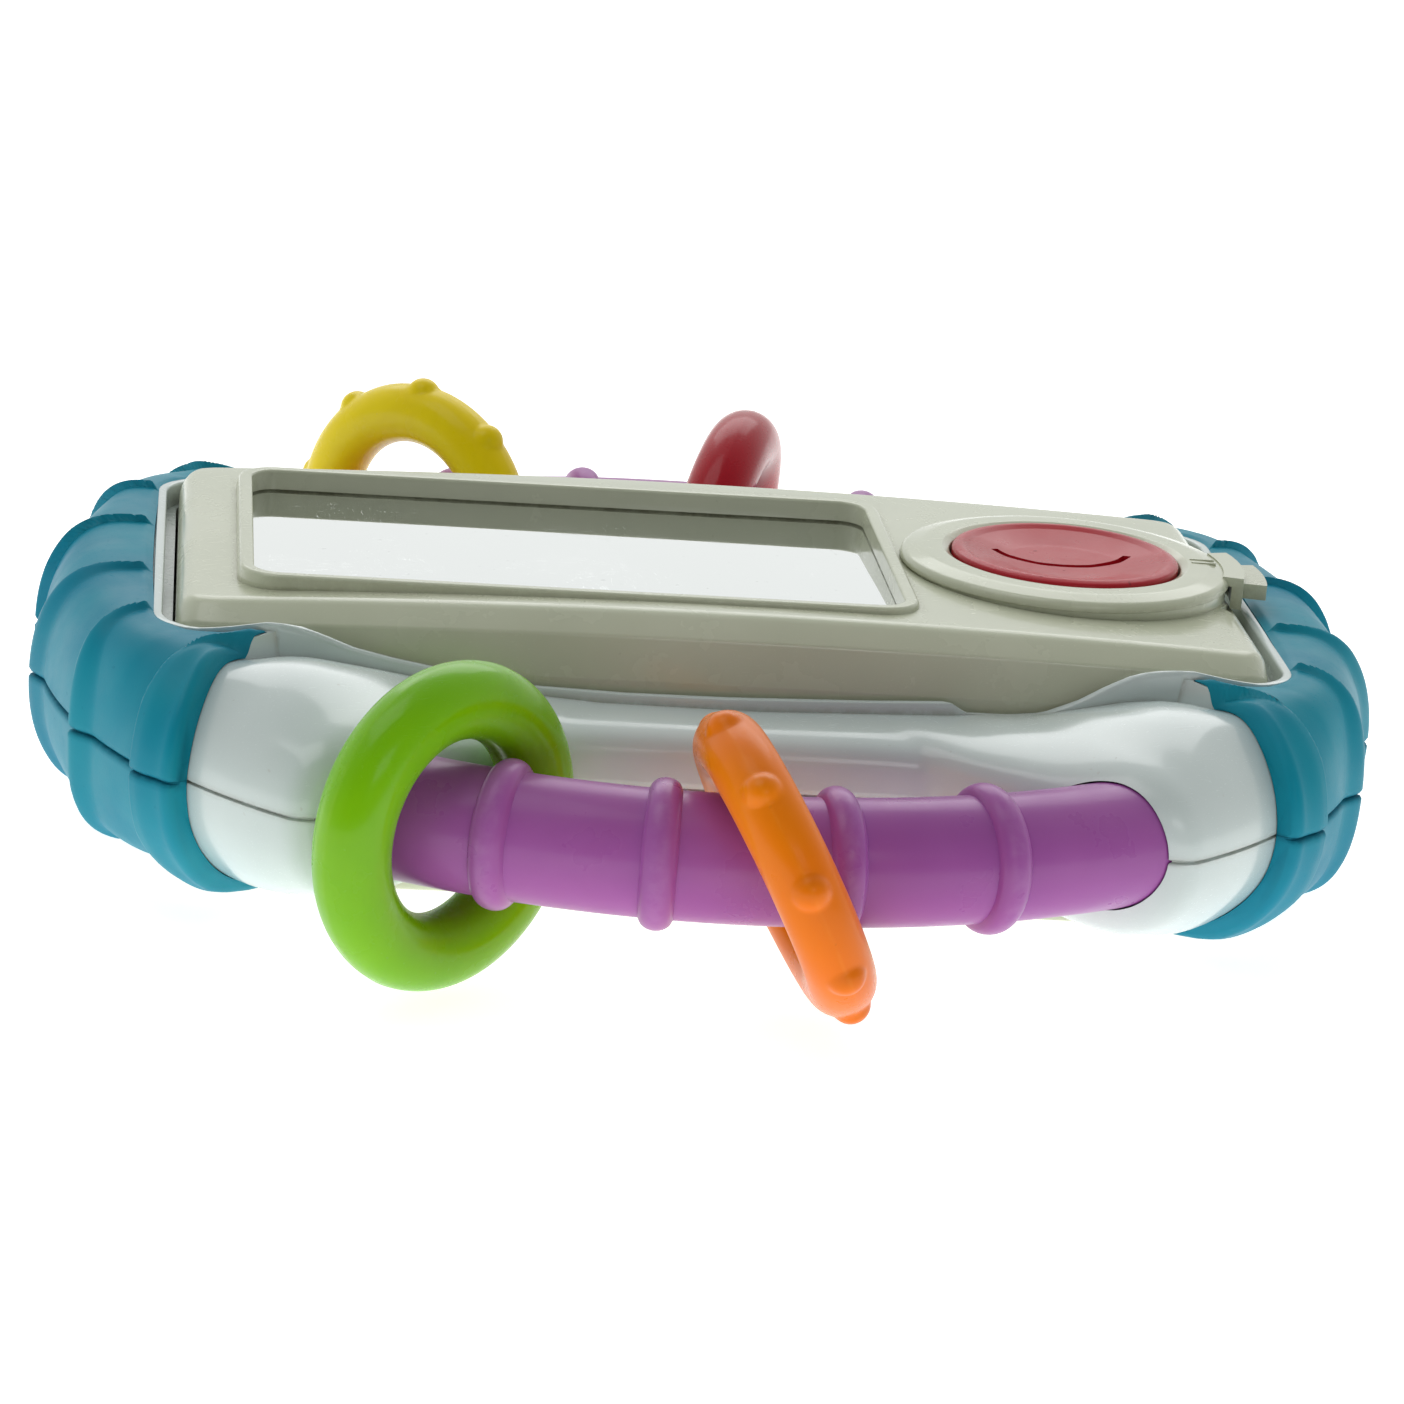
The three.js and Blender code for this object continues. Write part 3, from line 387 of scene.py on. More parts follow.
def rounded_outline(half_x, half_y, radius, steps=14, along=12):
    """Rounded rectangle, with points along its straight sides too."""
    outline = []
    corners = [(1, 1), (-1, 1), (-1, -1), (1, -1)]
    for index, (sx, sy) in enumerate(corners):
        for i in range(steps + 1):
            angle = (index + i / steps) * TAU / 4
            outline.append((sx * (half_x - radius) + radius * math.cos(angle),
                            sy * (half_y - radius) + radius * math.sin(angle)))
        nx, ny = corners[(index + 1) % 4]
        start = outline[-1]
        turn = (index + 1) * TAU / 4
        end = (nx * (half_x - radius) + radius * math.cos(turn),
               ny * (half_y - radius) + radius * math.sin(turn))
        for i in range(1, along):
            outline.append((mix(start[0], end[0], i / along), mix(start[1], end[1], i / along)))
    return np.array(outline)


def sweep_frame(name, half_x, half_y, radius, centre, profile):
    """Closed frame round a rounded rectangle; the profile loop is [outward offset, z]."""
    rows = []
    for offset, z in profile:
        outline = rounded_outline(half_x + offset, half_y + offset, radius + offset)
        rows.append(np.column_stack([outline + centre, np.full(len(outline), z)]))
    return loft(name, np.array(rows), closed=True)


def slab(name, half_x, half_y, radius, low, high, centre, edge=0.0):
    """Rounded rectangular plate, with its edges rounded by the given radius."""
    rows = []
    steps = 5 if edge else 0
    for i in range(steps + 1):
        a = (1 - i / steps) * TAU / 4 if edge else 0
        rows.append((edge * (1 - math.cos(a)), low + edge * (1 - math.sin(a))))
    rows += [(inset, high - (z - low)) for inset, z in reversed(rows)]
    sections = []
    for inset, z in rows:
        outline = rounded_outline(half_x - inset, half_y - inset, max(radius - inset, 0.2), 10, 2)
        sections.append(np.column_stack([outline + centre, np.full(len(outline), z)]))
    return loft(name, sections)


def block(x0, x1, y0, y1, z0, z1):
    corners = [[x, y] for x, y in ((x0, y0), (x1, y0), (x1, y1), (x0, y1))]
    return loft("tool", [[[*c, z] for c in corners] for z in (z0, z1)])


def sector(inner, outer, half_angle, low, high, centre=(BUTTON_X, 0), turn=0.0, steps=40):
    """Piece of a flat ring, between two radii and two angles."""
    angles = np.radians(turn + np.linspace(-half_angle, half_angle, steps))
    ring = np.concatenate([
        np.column_stack([outer * np.cos(angles), outer * np.sin(angles)]),
        np.column_stack([inner * np.cos(angles[::-1]), inner * np.sin(angles[::-1])]),
    ]) + centre
    return loft("tool", [np.column_stack([ring, np.full(len(ring), z)]) for z in (low, high)])


def apply_modifiers(obj):
    bpy.context.view_layer.update()
    graph = bpy.context.evaluated_depsgraph_get()
    mesh = bpy.data.meshes.new_from_object(obj.evaluated_get(graph))
    obj.modifiers.clear()
    obj.data = mesh
    return obj


def combine(obj, tools, operation="DIFFERENCE"):
    """Cuts the tools from obj, or joins them to it."""
    for tool in tools:
        modifier = obj.modifiers.new("combine", "BOOLEAN")
        modifier.solver = "EXACT"
        modifier.operation = operation
        modifier.object = tool
        apply_modifiers(obj)
    for tool in tools:
        bpy.data.objects.remove(tool)
    return obj


def soften(obj, width_mm, segments=3, angle=30):
    modifier = obj.modifiers.new("edge", "BEVEL")
    modifier.width = width_mm * MM
    modifier.segments = segments
    modifier.limit_method = "ANGLE"
    modifier.angle_limit = math.radians(angle)
    return apply_modifiers(obj)


def paint(obj, name, function):
    """Stores a 0-1 value at each point, worked out from its place in millimetres."""
    points = np.empty(len(obj.data.vertices) * 3, np.float32)
    obj.data.vertices.foreach_get("co", points)
    x, y, z = points.reshape(-1, 3).T / MM
    values = np.clip(function(x, y, z), 0, 1).astype(np.float32)
    layer = obj.data.attributes.get(name) or obj.data.attributes.new(name, "FLOAT", "POINT")
    layer.data.foreach_set("value", values)


def finish_piece(obj, name, body, material, nodes, sharp=38):
    obj.name = name
    obj.data.name = name
    obj.data.materials.clear()
    obj.data.materials.append(material)
    obj.data.polygons.foreach_set("use_smooth", [True] * len(obj.data.polygons))
    obj.data.set_sharp_from_angle(angle=math.radians(sharp))
    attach(obj, body)
    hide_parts(*nodes)
    return obj


# ---------------------------------------------------------------- round hand frame

# Heights above or below the parting line. LIP_TOP and LEDGE follow the opening's edge along X,
# and the other two follow the distance from the middle.
LIP_TOP = np.array([
    (-90, 16.2), (-76, 16.2), (-71, 16.8), (-66, 17.7), (-62, 17.5), (-58, 16.2), (-54, 14.7), (-48, 13.4),
    (-42, 12.4), (-36, 11.3), (-30, 10.5), (-15, 10.1), (0, 10.2), (20, 10.8), (31, 11.3), (33.5, 9.8),
    (40, 9.8), (45, 10.3), (50, 12.4), (54, 14.8), (58, 16.8), (62, 17.6), (66, 17.7), (71, 16.8),
    (76, 16.2), (90, 16.2),
])
UPPER_HEIGHT = np.array([
    (0, 8.6), (34, 8.6), (44, 10.4), (54, 14.6), (61, 17.2), (66, 17.5), (72, 16.6), (78, 16.2), (100, 16.2),
])
LOWER_HEIGHT = np.array([
    (0, 11.0), (34, 11.2), (44, 14.0), (54, 18.6), (62, 21.0), (67, 21.2), (72, 19.8), (78, 17.2),
    (86, 16.2), (100, 16.2),
])
LEDGE = np.array([
    (-63.3, 12.9), (-60, 12.4), (-56, 12.1), (-46, 10.8), (-36, 9.9), (-29, 9.4), (-18, 8.7), (4, 8.6),
    (33, 9.5), (45, 10.0), (50, 11.0), (56, 12.3), (63.3, 12.9),
])
POCKET_END = 63.3
RIM_STEP = 1.1
BORE_HALF_X, BORE_HALF_Y, BORE_RADIUS = 79.8, 41.55, 6.6
BORE_SHELF = 3.6
TONGUE = -0.1  # the lower pieces close the parting line from behind


def oval_radius(angle):
    c = np.abs(np.cos(angle)) / FRAME_HALF
    s = np.abs(np.sin(angle)) / FRAME_HALF
    return (c ** FRAME_POWER + s ** FRAME_POWER) ** (-1 / FRAME_POWER)


def end_angle(angle):
    return np.degrees(np.arctan2(np.abs(np.sin(angle)), np.abs(np.cos(angle))))


def opening_radius(angle, half_x=OPEN_HALF_X, half_y=OPEN_HALF_Y, rounding=OPEN_RADIUS):
    c, s = np.abs(np.cos(angle)), np.abs(np.sin(angle))
    corner_x, corner_y = half_x - rounding, half_y - rounding
    along = corner_x * c + corner_y * s
    miss = corner_x ** 2 + corner_y ** 2 - rounding ** 2
    corner = along + np.sqrt(np.maximum(along ** 2 - miss, 0))
    side = half_x / np.maximum(c, 1e-9)
    front = half_y / np.maximum(s, 1e-9)
    return np.where(half_x * s <= corner_y * c, side, np.where(half_y * c <= corner_x * s, front, corner))


def frame_radius(angle):
    straight = WAIST_HALF_Y / np.maximum(0.5, np.abs(np.sin(angle)))
    return mix(oval_radius(angle), straight, smooth(50, 64, end_angle(angle)))


def rim_x(angle):
    """Where the opening's edge lies along X."""
    return opening_radius(angle) * np.cos(angle)


def soft_interp(x, table):
    """Linear interpolation of a height table, softened over a few millimetres."""
    total = 0
    for shift, weight in ((-2.4, 0.25), (0, 0.5), (2.4, 0.25)):
        total = total + weight * np.interp(np.abs(x) + shift, table[:, 0], table[:, 1])
    return total


def frame_height(x, side):
    return soft_interp(x, UPPER_HEIGHT if side > 0 else LOWER_HEIGHT)


def frame_power(angle):
    return mix(2.3, 4.0, smooth(48, 70, end_angle(angle)))


def lip_height(angle, side):
    x = rim_x(angle)
    if side < 0:
        return frame_height(x, side)
    return np.interp(x, LIP_TOP[:, 0], LIP_TOP[:, 1])


def ledge_height(angle, side):
    x = rim_x(angle)
    beyond = lip_height(angle, side) - RIM_STEP
    if side < 0:
        return beyond
    inside = np.interp(x, LEDGE[:, 0], LEDGE[:, 1])
    return mix(inside, beyond, smooth(POCKET_END, POCKET_END + 0.7, np.abs(x)))


def frame_skin(angle, turn, side):
    """Radius, height and outward normal on the frame's skin; turn 0 is the seam, 1 the inner edge."""
    power = frame_power(angle)
    inner = opening_radius(angle)
    width = frame_radius(angle) - inner
    t = turn * math.pi / 2
    across = np.cos(t) ** (2 / power)
    up = np.sin(t) ** (2 / power)
    radius = inner + width * across
    height = frame_height(radius * np.cos(angle), side)
    slope_across = across ** (power - 1) / width
    slope_up = up ** (power - 1) / height
    length = np.hypot(slope_across, slope_up)
    sink = (frame_height(rim_x(angle), side) - ledge_height(angle, side)) * (1 - smooth(0.1, 0.78, across))
    return radius, height * up - sink, slope_across / length, slope_up / length


def frame_angles():
    """Angles round the opening, closer together where its corners turn."""
    coarse = np.arange(0, 360, 0.9)
    fine = np.concatenate([q + np.arange(31.6, 33.2, 0.12) for q in (0, 180)])
    fine = np.concatenate([fine, 180 - fine, -fine]) % 360
    return np.radians(np.unique(np.round(np.concatenate([coarse, fine]), 3)))


def frame_shell(side):
    """Half of the hollow frame, lofted round its opening; side is 1 above the parting line."""
    angle = frame_angles()[:, None]
    inner = opening_radius(angle)
    width = frame_radius(angle) - inner
    power = frame_power(angle)
    stop = np.arccos(np.clip(LIP_WIDTH / width, 0, 1) ** (power / 2)) / (math.pi / 2)
    spread = (1 - np.cos(np.linspace(0.045, 1, 46) * math.pi)) / 2
    radius, height, _, _ = frame_skin(angle, spread[None, :] * stop, side)
    lip = lip_height(angle, side)
    outer = frame_radius(angle)
    count = len(angle)

    def column(r, h):
        return np.broadcast_to(r, (count, 1)), np.broadcast_to(h, (count, 1))

    base = height[:, -1:]
    bore = opening_radius(angle, BORE_HALF_X, BORE_HALF_Y, BORE_RADIUS)
    shelf = lip - BORE_SHELF
    tall = np.maximum(lip - base, 0.02)
    tongue = HALF_GAP if side > 0 else TONGUE
    seam = [column(outer - WALL, tongue), column(outer - 0.6, tongue), column(outer - 0.58, HALF_GAP),
            column(outer - 0.25, HALF_GAP + 0.05)]
    edge = [
        column(inner + LIP_WIDTH, base + tall * 0.15), column(inner + LIP_WIDTH - 0.03, base + tall * 0.75),
        column(inner + LIP_WIDTH - 0.14, base + tall * 0.93), column(inner + LIP_WIDTH - 0.4, lip),
        column(inner + 0.5, lip), column(inner + 0.22, lip - 0.07), column(inner + 0.07, lip - 0.22),
        column(inner, lip - 0.5), column(inner, shelf), column(bore, shelf),
        column(bore, HALF_GAP), column(inner + WALL, HALF_GAP),
    ]
    core_turns = np.array([0.93, 0.8, 0.6, 0.4, 0.2])[None, :]
    t = core_turns * math.pi / 2
    core_radius = inner + WALL + (width - 2 * WALL) * np.cos(t) ** (2 / power)
    core_height = (frame_height(core_radius * np.cos(angle), side) - 4.5) * np.sin(t) ** (2 / power)
    radii = np.hstack([c[0] for c in seam] + [radius] + [c[0] for c in edge] + [core_radius])
    heights = np.hstack([c[1] for c in seam] + [height] + [c[1] for c in edge] + [core_height])
    sections = np.stack([radii * np.cos(angle), radii * np.sin(angle), SEAM_Z + side * heights], -1)
    return loft("frame", sections, closed=True)


def bar_path(degrees, front):
    angle = np.radians(degrees)
    return BAR_ARC * np.sin(angle), front * (BAR_PIVOT_Y + BAR_ARC * np.cos(angle))


def bar_tube(name, degrees, radius, front, segments):
    """Tube along the bar's arc, with its own radius at each angle."""
    angle = np.radians(degrees)[:, None]
    around = (np.arange(segments) / segments * TAU)[None, :]
    reach = BAR_ARC + radius[:, None] * np.cos(around)
    return loft(name, np.stack([
        reach * np.sin(angle), front * (BAR_PIVOT_Y + reach * np.cos(angle)),
        SEAM_Z + radius[:, None] * np.sin(around),
    ], -1))


def bar_space(front):
    degrees = np.linspace(-BAR_END_ANGLE - 0.4, BAR_END_ANGLE + 0.4, 90)
    return bar_tube("tool", degrees, np.full(90, BAR_RADIUS + 0.25), front, 96)


SCREW_PLACES = [(60, -50), (60, 50), (-60, -50), (-60, 50)]
POST_RADIUS, POST_DEPTH = 5.2, 17.4
SINK_RADIUS, SINK_DEPTH = 3.4, 8
SCREW_HOLE = 1.75

upper = combine(frame_shell(1), [bar_space(-1), bar_space(1)])
lower = frame_shell(-1)
combine(lower, [drum(x, y, POST_RADIUS, SEAM_Z - POST_DEPTH, SEAM_Z - 0.2) for x, y in SCREW_PLACES], "UNION")
cuts = [drum(x, y, SINK_RADIUS, SEAM_Z - 24, SEAM_Z - SINK_DEPTH) for x, y in SCREW_PLACES]
cuts += [drum(x, y, SCREW_HOLE, SEAM_Z - 24, SEAM_Z + 1) for x, y in SCREW_PLACES]
combine(lower, [bar_space(-1), bar_space(1), *cuts])


def frame_grime_and_shade(x, y, z):
    """Dirt along the parting line and at the foot of the lip, and painted shade that deepens inside the
    opening.
    """
    angle = np.arctan2(y, x)
    radius = np.hypot(x, y)
    seam = np.exp(-(np.abs(z - SEAM_Z) / 0.55) ** 2)
    lip_foot = np.exp(-((radius - opening_radius(angle) - LIP_WIDTH - 0.15) / 0.4) ** 2)
    lip_foot *= (z - SEAM_Z < ledge_height(angle, 1) + 0.5) & (z - SEAM_Z > 5)
    depth = lip_height(angle, 1) - z + SEAM_Z
    # Painted shade: the opening's inner wall grows darker the deeper it goes.
    slot = (radius < opening_radius(angle) + 0.05) * (0.9 - smooth(3.2, 0.6, depth))
    return np.maximum.reduce([seam * 0.55, lip_foot * 0.55, slot * 0.4])


for shell, name in ((upper, "frame_upper"), (lower, "frame_lower")):
    paint(shell, "grime_and_shade", frame_grime_and_shade)
    finish_piece(shell, name + "_skin", "toy", WHITE, [name], sharp=42)


# ---------------------------------------------------------------- ribbed grips

RIBS = [(7.2, 10.8), (22.9, 26.4), (34.0, 39.0)]
GRIP_TURNS = 46
GRIP_RIM = 0.948  # where a grip stops, short of the frame's inner edge
GRIP_SEAT = 0.12


def grip(end, side):
    """Ribbed rubber skin over a quarter of the frame's two ends."""
    degrees = np.linspace(-GRIP_END, GRIP_END, 471)
    turn = np.linspace(0, 1, GRIP_TURNS)
    turn = (turn * 0.75 + (1 - np.cos(turn * math.pi)) / 8) * GRIP_RIM
    to_rim = turn / GRIP_RIM
    shrink = 1 - (GRIP_SHRINK if side > 0 else LOWER_GRIP_SHRINK) * smooth(0.05, 1, turn)
    angle = np.radians(degrees[:, None] * shrink[None, :]) + (0 if end > 0 else math.pi)
    radius, height, out_radius, out_height = frame_skin(angle, np.broadcast_to(turn, angle.shape), side)
    away = np.abs(degrees)[:, None]
    taper = smooth(0.2, 0.97, turn)[None, :]
    rib = np.zeros_like(angle)
    for start, stop in RIBS:
        first = mix(start, stop - 0.5, taper)
        width = stop - first
        q = (away - first) / width
        rise = smooth(0, 0.1, q) * (1 - smooth(0.16, 1.0, q) ** 0.85)
        if stop == GRIP_END:
            rise = smooth(0, 0.09, q) * (1 - 0.45 * smooth(0.25, 0.8, q) - 0.25 * smooth(0.8, 1, q))
        rib = np.maximum(rib, rise)
    plate = mix(3.3, 2.75, smooth(9, 25, away))
    thickness = mix(plate, 1.5, smooth(0.45, 0.97, to_rim)[None, :])
    last = smooth(0.93, 1.0, to_rim)[None, :]
    rib = rib * mix(1.75, 1.15, smooth(0.25, 0.8, turn))[None, :] * (1 - last)
    tuck = (1 - np.sqrt(1 - np.clip((0.62 - (GRIP_END - away)) / 0.62, 0, 1) ** 2)) * 1.0
    skin = (thickness + rib) - tuck
    point = smooth(31, GRIP_END, away) * smooth(0.62, 1.0, to_rim)[None, :]
    skin = (skin - 0.55 * last ** 2) * (1 - 0.6 * point)
    outer_r, outer_h = radius + out_radius * skin, height + out_height * skin
    outer_h[:, 0] = HALF_GAP + 0.1
    inner_r, inner_h = radius + out_radius * GRIP_SEAT, height + out_height * GRIP_SEAT
    lip_r = outer_r[:, :1] - 0.9
    outer_r[:, 0] -= 0.3
    tongue = HALF_GAP if side > 0 else TONGUE
    inner_h = np.maximum(inner_h, HALF_GAP)
    inner_h[:, 0] = tongue
    radii = np.hstack([lip_r - 0.03, lip_r, outer_r, inner_r[:, ::-1]])
    heights = np.hstack([np.full_like(lip_r, tongue), np.full_like(lip_r, HALF_GAP),
                         np.maximum(outer_h, HALF_GAP + 0.05), inner_h[:, ::-1]])
    angles = np.hstack([angle[:, :1], angle[:, :1], angle, angle[:, ::-1]])
    sections = np.stack([radii * np.cos(angles), radii * np.sin(angles), SEAM_Z + side * heights], -1)
    return loft("grip", sections)


def grip_grime(_x, _y, z):
    return np.exp(-(np.abs(z - SEAM_Z) / 0.6) ** 2) * 0.8


for end, end_name in ((1, "right"), (-1, "left")):
    for side, side_name in ((1, "upper"), (-1, "lower")):
        name = f"grip_{end_name}_{side_name}"
        piece = grip(end, side)
        paint(piece, "grime_and_shade", grip_grime)
        finish_piece(piece, name + "_rubber", "toy", TEAL, [name], sharp=55)


# ---------------------------------------------------------------- bars and rings

def bar(front):
    """Curved bar with its rounded collars."""
    degrees = np.linspace(-BAR_END_ANGLE, BAR_END_ANGLE, 620)
    rise = np.zeros_like(degrees)
    for centre in COLLAR_ANGLES:
        offset = np.radians(degrees - centre) * BAR_ARC / COLLAR_HALF
        rise = np.maximum(rise, np.clip(1 - offset ** 2, 0, 1) ** 0.55)
    return bar_tube("bar", degrees, mix(BAR_RADIUS, COLLAR_RADIUS, rise), front, 72)


for front, name in ((-1, "front_bar"), (1, "back_bar")):
    piece = bar(front)

    def from_axis(x, y, z, front=front):
        out = np.hypot(x, front * y - BAR_PIVOT_Y) - BAR_ARC
        return np.hypot(out, z - SEAM_Z)

    paint(piece, "wear", lambda x, y, z: smooth(10.0, 10.5, from_axis(x, y, z)) * 0.2)
    finish_piece(piece, name + "_moulding", "toy", PURPLE, [name])


def ring(front, slot, swing, lean, drop, tube, nubbed):
    """Torus on a bar, with its mould line and, if nubbed, round nubs blended into its rim."""
    around = (np.arange(320) / 320 * TAU)[:, None]
    across = (np.arange(72) / 72 * TAU)[None, :]
    spoke = np.stack([np.zeros_like(around), np.cos(around), np.sin(around)], -1)
    direction = np.cos(across)[..., None] * spoke + np.sin(across)[..., None] * np.array([1.0, 0, 0])
    centre = RING_RADIUS * spoke
    reach = np.full(direction.shape[:2], float(tube))
    mould_line = np.exp(-((across + math.pi) % TAU - math.pi) ** 2 / 0.002)
    reach += 0.05 * mould_line
    if nubbed:
        for i in range(NUB_COUNT):
            turn = (i + 0.25) / NUB_COUNT * TAU
            nub = (RING_RADIUS + tube - 1.5) * np.array([0, math.cos(turn), math.sin(turn)])
            to_nub = nub - centre
            along = (direction * to_nub).sum(-1)
            room = along ** 2 - (to_nub ** 2).sum(-1) + NUB_RADIUS ** 2
            far = along + np.sqrt(np.maximum(room, 0))
            far = np.where((room > 0) & (along > 0) & (far < tube + NUB_RADIUS), far, 0)
            top = np.maximum(reach, far)
            blend = np.log(np.exp((reach - top) / NUB_BLEND) + np.exp((far - top) / NUB_BLEND))
            reach = top + NUB_BLEND * blend * (far > tube - 1.2)
    points = centre + direction * reach[..., None]
    x, y = bar_path(slot, front)
    place = (Matrix.Translation((float(x), float(y), SEAM_Z - drop))
             @ Matrix.Rotation(math.radians(swing - front * slot), 4, "Z")
             @ Matrix.Rotation(math.radians(lean), 4, "Y"))
    turn = np.array(place)
    points = points @ turn[:3, :3].T + turn[:3, 3]
    obj = loft("ring", points, closed=True)
    wear = mould_line * np.ones_like(reach) * 0.12
    layer = obj.data.attributes.new("wear", "FLOAT", "POINT")
    layer.data.foreach_set("value", wear.reshape(-1).astype(np.float32))
    return obj


# Each row: bar (-1 front, 1 back), place along it, swing about Z and lean, in degrees, then the drop
# below the bar's axis, the tube's radius and whether there are nubs
for name, material, spec in (
    ("green_ring", GREEN, (-1, -24.6, -22, 0, RING_DROP, SMOOTH_TUBE, False)),
    ("orange_ring", ORANGE, (-1, 2.5, 5, -27.3, RING_DROP, NUBBED_TUBE, True)),
    ("yellow_ring", YELLOW, (1, -24, 24.5, 0, -2.2, NUBBED_TUBE, True)),
    ("red_ring", RED, (1, 6, -11, 8, 1.5, SMOOTH_TUBE, False)),
):
    finish_piece(ring(*spec), name + "_moulding", name, material, [name], sharp=80)


# ---------------------------------------------------------------- phone module

# Profiles are [inset, height] pairs from the parting line to the middle of the face
WALL_TOP = 9.3
FRONT_TOP, REAR_TOP = 20.8, 25
REAR_CORNER, REAR_END_ROUND = 10, 9
HOLLOW_START = -2  # a cover's hollow runs past its parting line
COVER_PROFILE = fillet(
    [(0, 0.15), (0.5, 11.5), (1.7, 17.7), (5.6, 20.75), (12, 20.8)], [2.5, 1.1, 3.6], 0.2)
REAR_PROFILE = fillet(
    [(0, 0.15), (0.3, 9.3), (3.4, 15), (5.4, 20), (7, 23.9), (10.5, 25), (14, 25)], [3, 4, 4, 2.2, 1], 0.35)


def cover_rows(profile, inset, crown, top, corner, end_round, back_slope):
    """Sections along X: each is the profile on both sides, pulled in at the rounded ends."""
    half_x = PHONE_HALF_X - inset
    ends = half_x - np.concatenate([(1 - np.cos(np.linspace(0, math.pi / 2, 12))) * corner,
                                    np.linspace(corner + 1.5, half_x, 42)])
    xs = np.unique(np.concatenate([-ends, ends]))
    rows = []
    for x in xs:
        e = half_x - abs(x)
        pull = corner - math.sqrt(max(0, corner ** 2 - max(0, corner - e) ** 2))
        drop = end_round - math.sqrt(max(0, end_round ** 2 - max(0, end_round - e) ** 2))
        step, height = profile[:, 0], profile[:, 1]
        share = np.clip((height - WALL_TOP) / (top - WALL_TOP), 0, 1)
        sink = share * (crown * (x / PHONE_HALF_X) ** 2 + drop) + inset * share
        edge = PHONE_HALF_Y - inset - pull * 0.9
        back, front = edge - step * back_slope, edge - step
        h = np.maximum(height - sink, profile[0, 1] if not inset else HOLLOW_START)
        if inset:
            h[0] = HOLLOW_START
        rows.append(np.concatenate([
            np.column_stack([np.full_like(back, x), back, h]),
            np.column_stack([np.full_like(front, x), -front[::-1], h[::-1]]),
        ]))
    return np.array(rows)


def cover_body(profile, side, inset, crown, top, corner=6.0, end_round=3.4, back_slope=0.45):
    """Solid cover, or its hollow when there is an inset; side is 1 above the parting line."""
    rows = cover_rows(profile, inset, crown, top, corner, end_round, back_slope)
    rows[..., 2] = SEAM_Z + side * rows[..., 2]
    return loft("cover", rows)


BUTTON_WELL = 19.9
SLOT_REACH, SLOT_HALF_ANGLE = 31.2, 28
front_cover = cover_body(COVER_PROFILE, 1, 0, PHONE_CROWN, FRONT_TOP)
combine(front_cover, [
    cover_body(COVER_PROFILE, 1, WALL, PHONE_CROWN, FRONT_TOP),
    slab("tool", WINDOW_HALF_X + 0.6, WINDOW_HALF_Y + 0.6, 4.6, 35, 60, (WINDOW_X, 0)),
])
rim_profile = fillet(
    [(0, 43.5), (0, 46.55), (2.0, 46.65), (2.35, 45.0), (2.35, 43.0), (1.2, 42.6), (0, 43.5)],
    [0.45, 0.7, 0.5, 0, 0], 0.1)[:-1]
window_rim = sweep_frame("rim", WINDOW_HALF_X, WINDOW_HALF_Y, 4, (WINDOW_X, 0), rim_profile)
boss = revolve("boss", fillet(
    [(0, 42), (SELECTOR_OUTER - 0.15, 42), (SELECTOR_OUTER - 0.15, SELECTOR_SEAT), (0, SELECTOR_SEAT)],
    [0, 0.05], 0.05), (BUTTON_X, 0), 200)
combine(front_cover, [window_rim, boss], "UNION")
combine(front_cover, [
    drum(BUTTON_X, 0, BUTTON_WELL, 35, 60, 128),
    sector(SELECTOR_OUTER + 0.4, SLOT_REACH, SLOT_HALF_ANGLE, SEAM_Z + 17.3, SEAM_Z + 30),
])

SPOT_X, SPOT_Z = 45.5, 39.5


def cover_grime_and_shade(x, y, z):
    """A dark band round the foot of the window's rim, painted shade low on the sides, and one brown spot on
    the front.
    """
    rim_x_gap = np.abs(np.abs(x - WINDOW_X) - WINDOW_HALF_X - 2.4)
    rim_y_gap = np.abs(np.abs(y) - WINDOW_HALF_Y - 2.4)
    near = np.where(np.abs(y) < WINDOW_HALF_Y, rim_x_gap, rim_y_gap)
    inside = (np.abs(x - WINDOW_X) < WINDOW_HALF_X + 3) & (np.abs(y) < WINDOW_HALF_Y + 3)
    rim = np.exp(-(near / 0.5) ** 2) * inside * 0.35
    spot = np.exp(-(((x - SPOT_X) / 0.9) ** 2 + ((z - SPOT_Z) / 0.6) ** 2)) * (y < -30)
    # Painted shade: the low wall of the sides is darker.
    low = smooth(36.5, 33.5, z) * 0.15
    return np.maximum.reduce([rim, spot, low])


paint(front_cover, "grime_and_shade", cover_grime_and_shade)
finish_piece(front_cover, "phone_front_case", "toy", CREAM, ["phone_front_cover"], sharp=30)

mirror = slab("mirror", WINDOW_HALF_X + 1.8, WINDOW_HALF_Y + 1.5, 4, MIRROR_TOP - 1.5, MIRROR_TOP,
              (WINDOW_X, 0), 0.12)
finish_piece(mirror, "mirror_plate", "toy", MIRROR, ["mirror"], sharp=30)

selector = revolve("selector", fillet([
    (SELECTOR_INNER, 43.4), (19.4, 43.4), (19.4, SELECTOR_SEAT + 0.05),
    (SELECTOR_OUTER + 0.3, SELECTOR_SEAT + 0.05),
    (SELECTOR_OUTER - 0.1, SELECTOR_TOP - 0.75), (SELECTOR_OUTER - 3.0, SELECTOR_TOP - 0.05),
    (SELECTOR_INNER + 1.2, SELECTOR_TOP), (SELECTOR_INNER, SELECTOR_TOP - 0.7), (SELECTOR_INNER, 43.4),
], [0, 0, 0.1, 1.3, 3.5, 0.6, 0.4], 0.12)[:-1], (BUTTON_X, 0), 200)
LEVER_REACH, LEVER_HALF_ANGLE, LEVER_TOP = 27.2, 16, SEAM_Z + 22.5
TAB_REACH, TAB_HALF_ANGLE = 30.7, 11
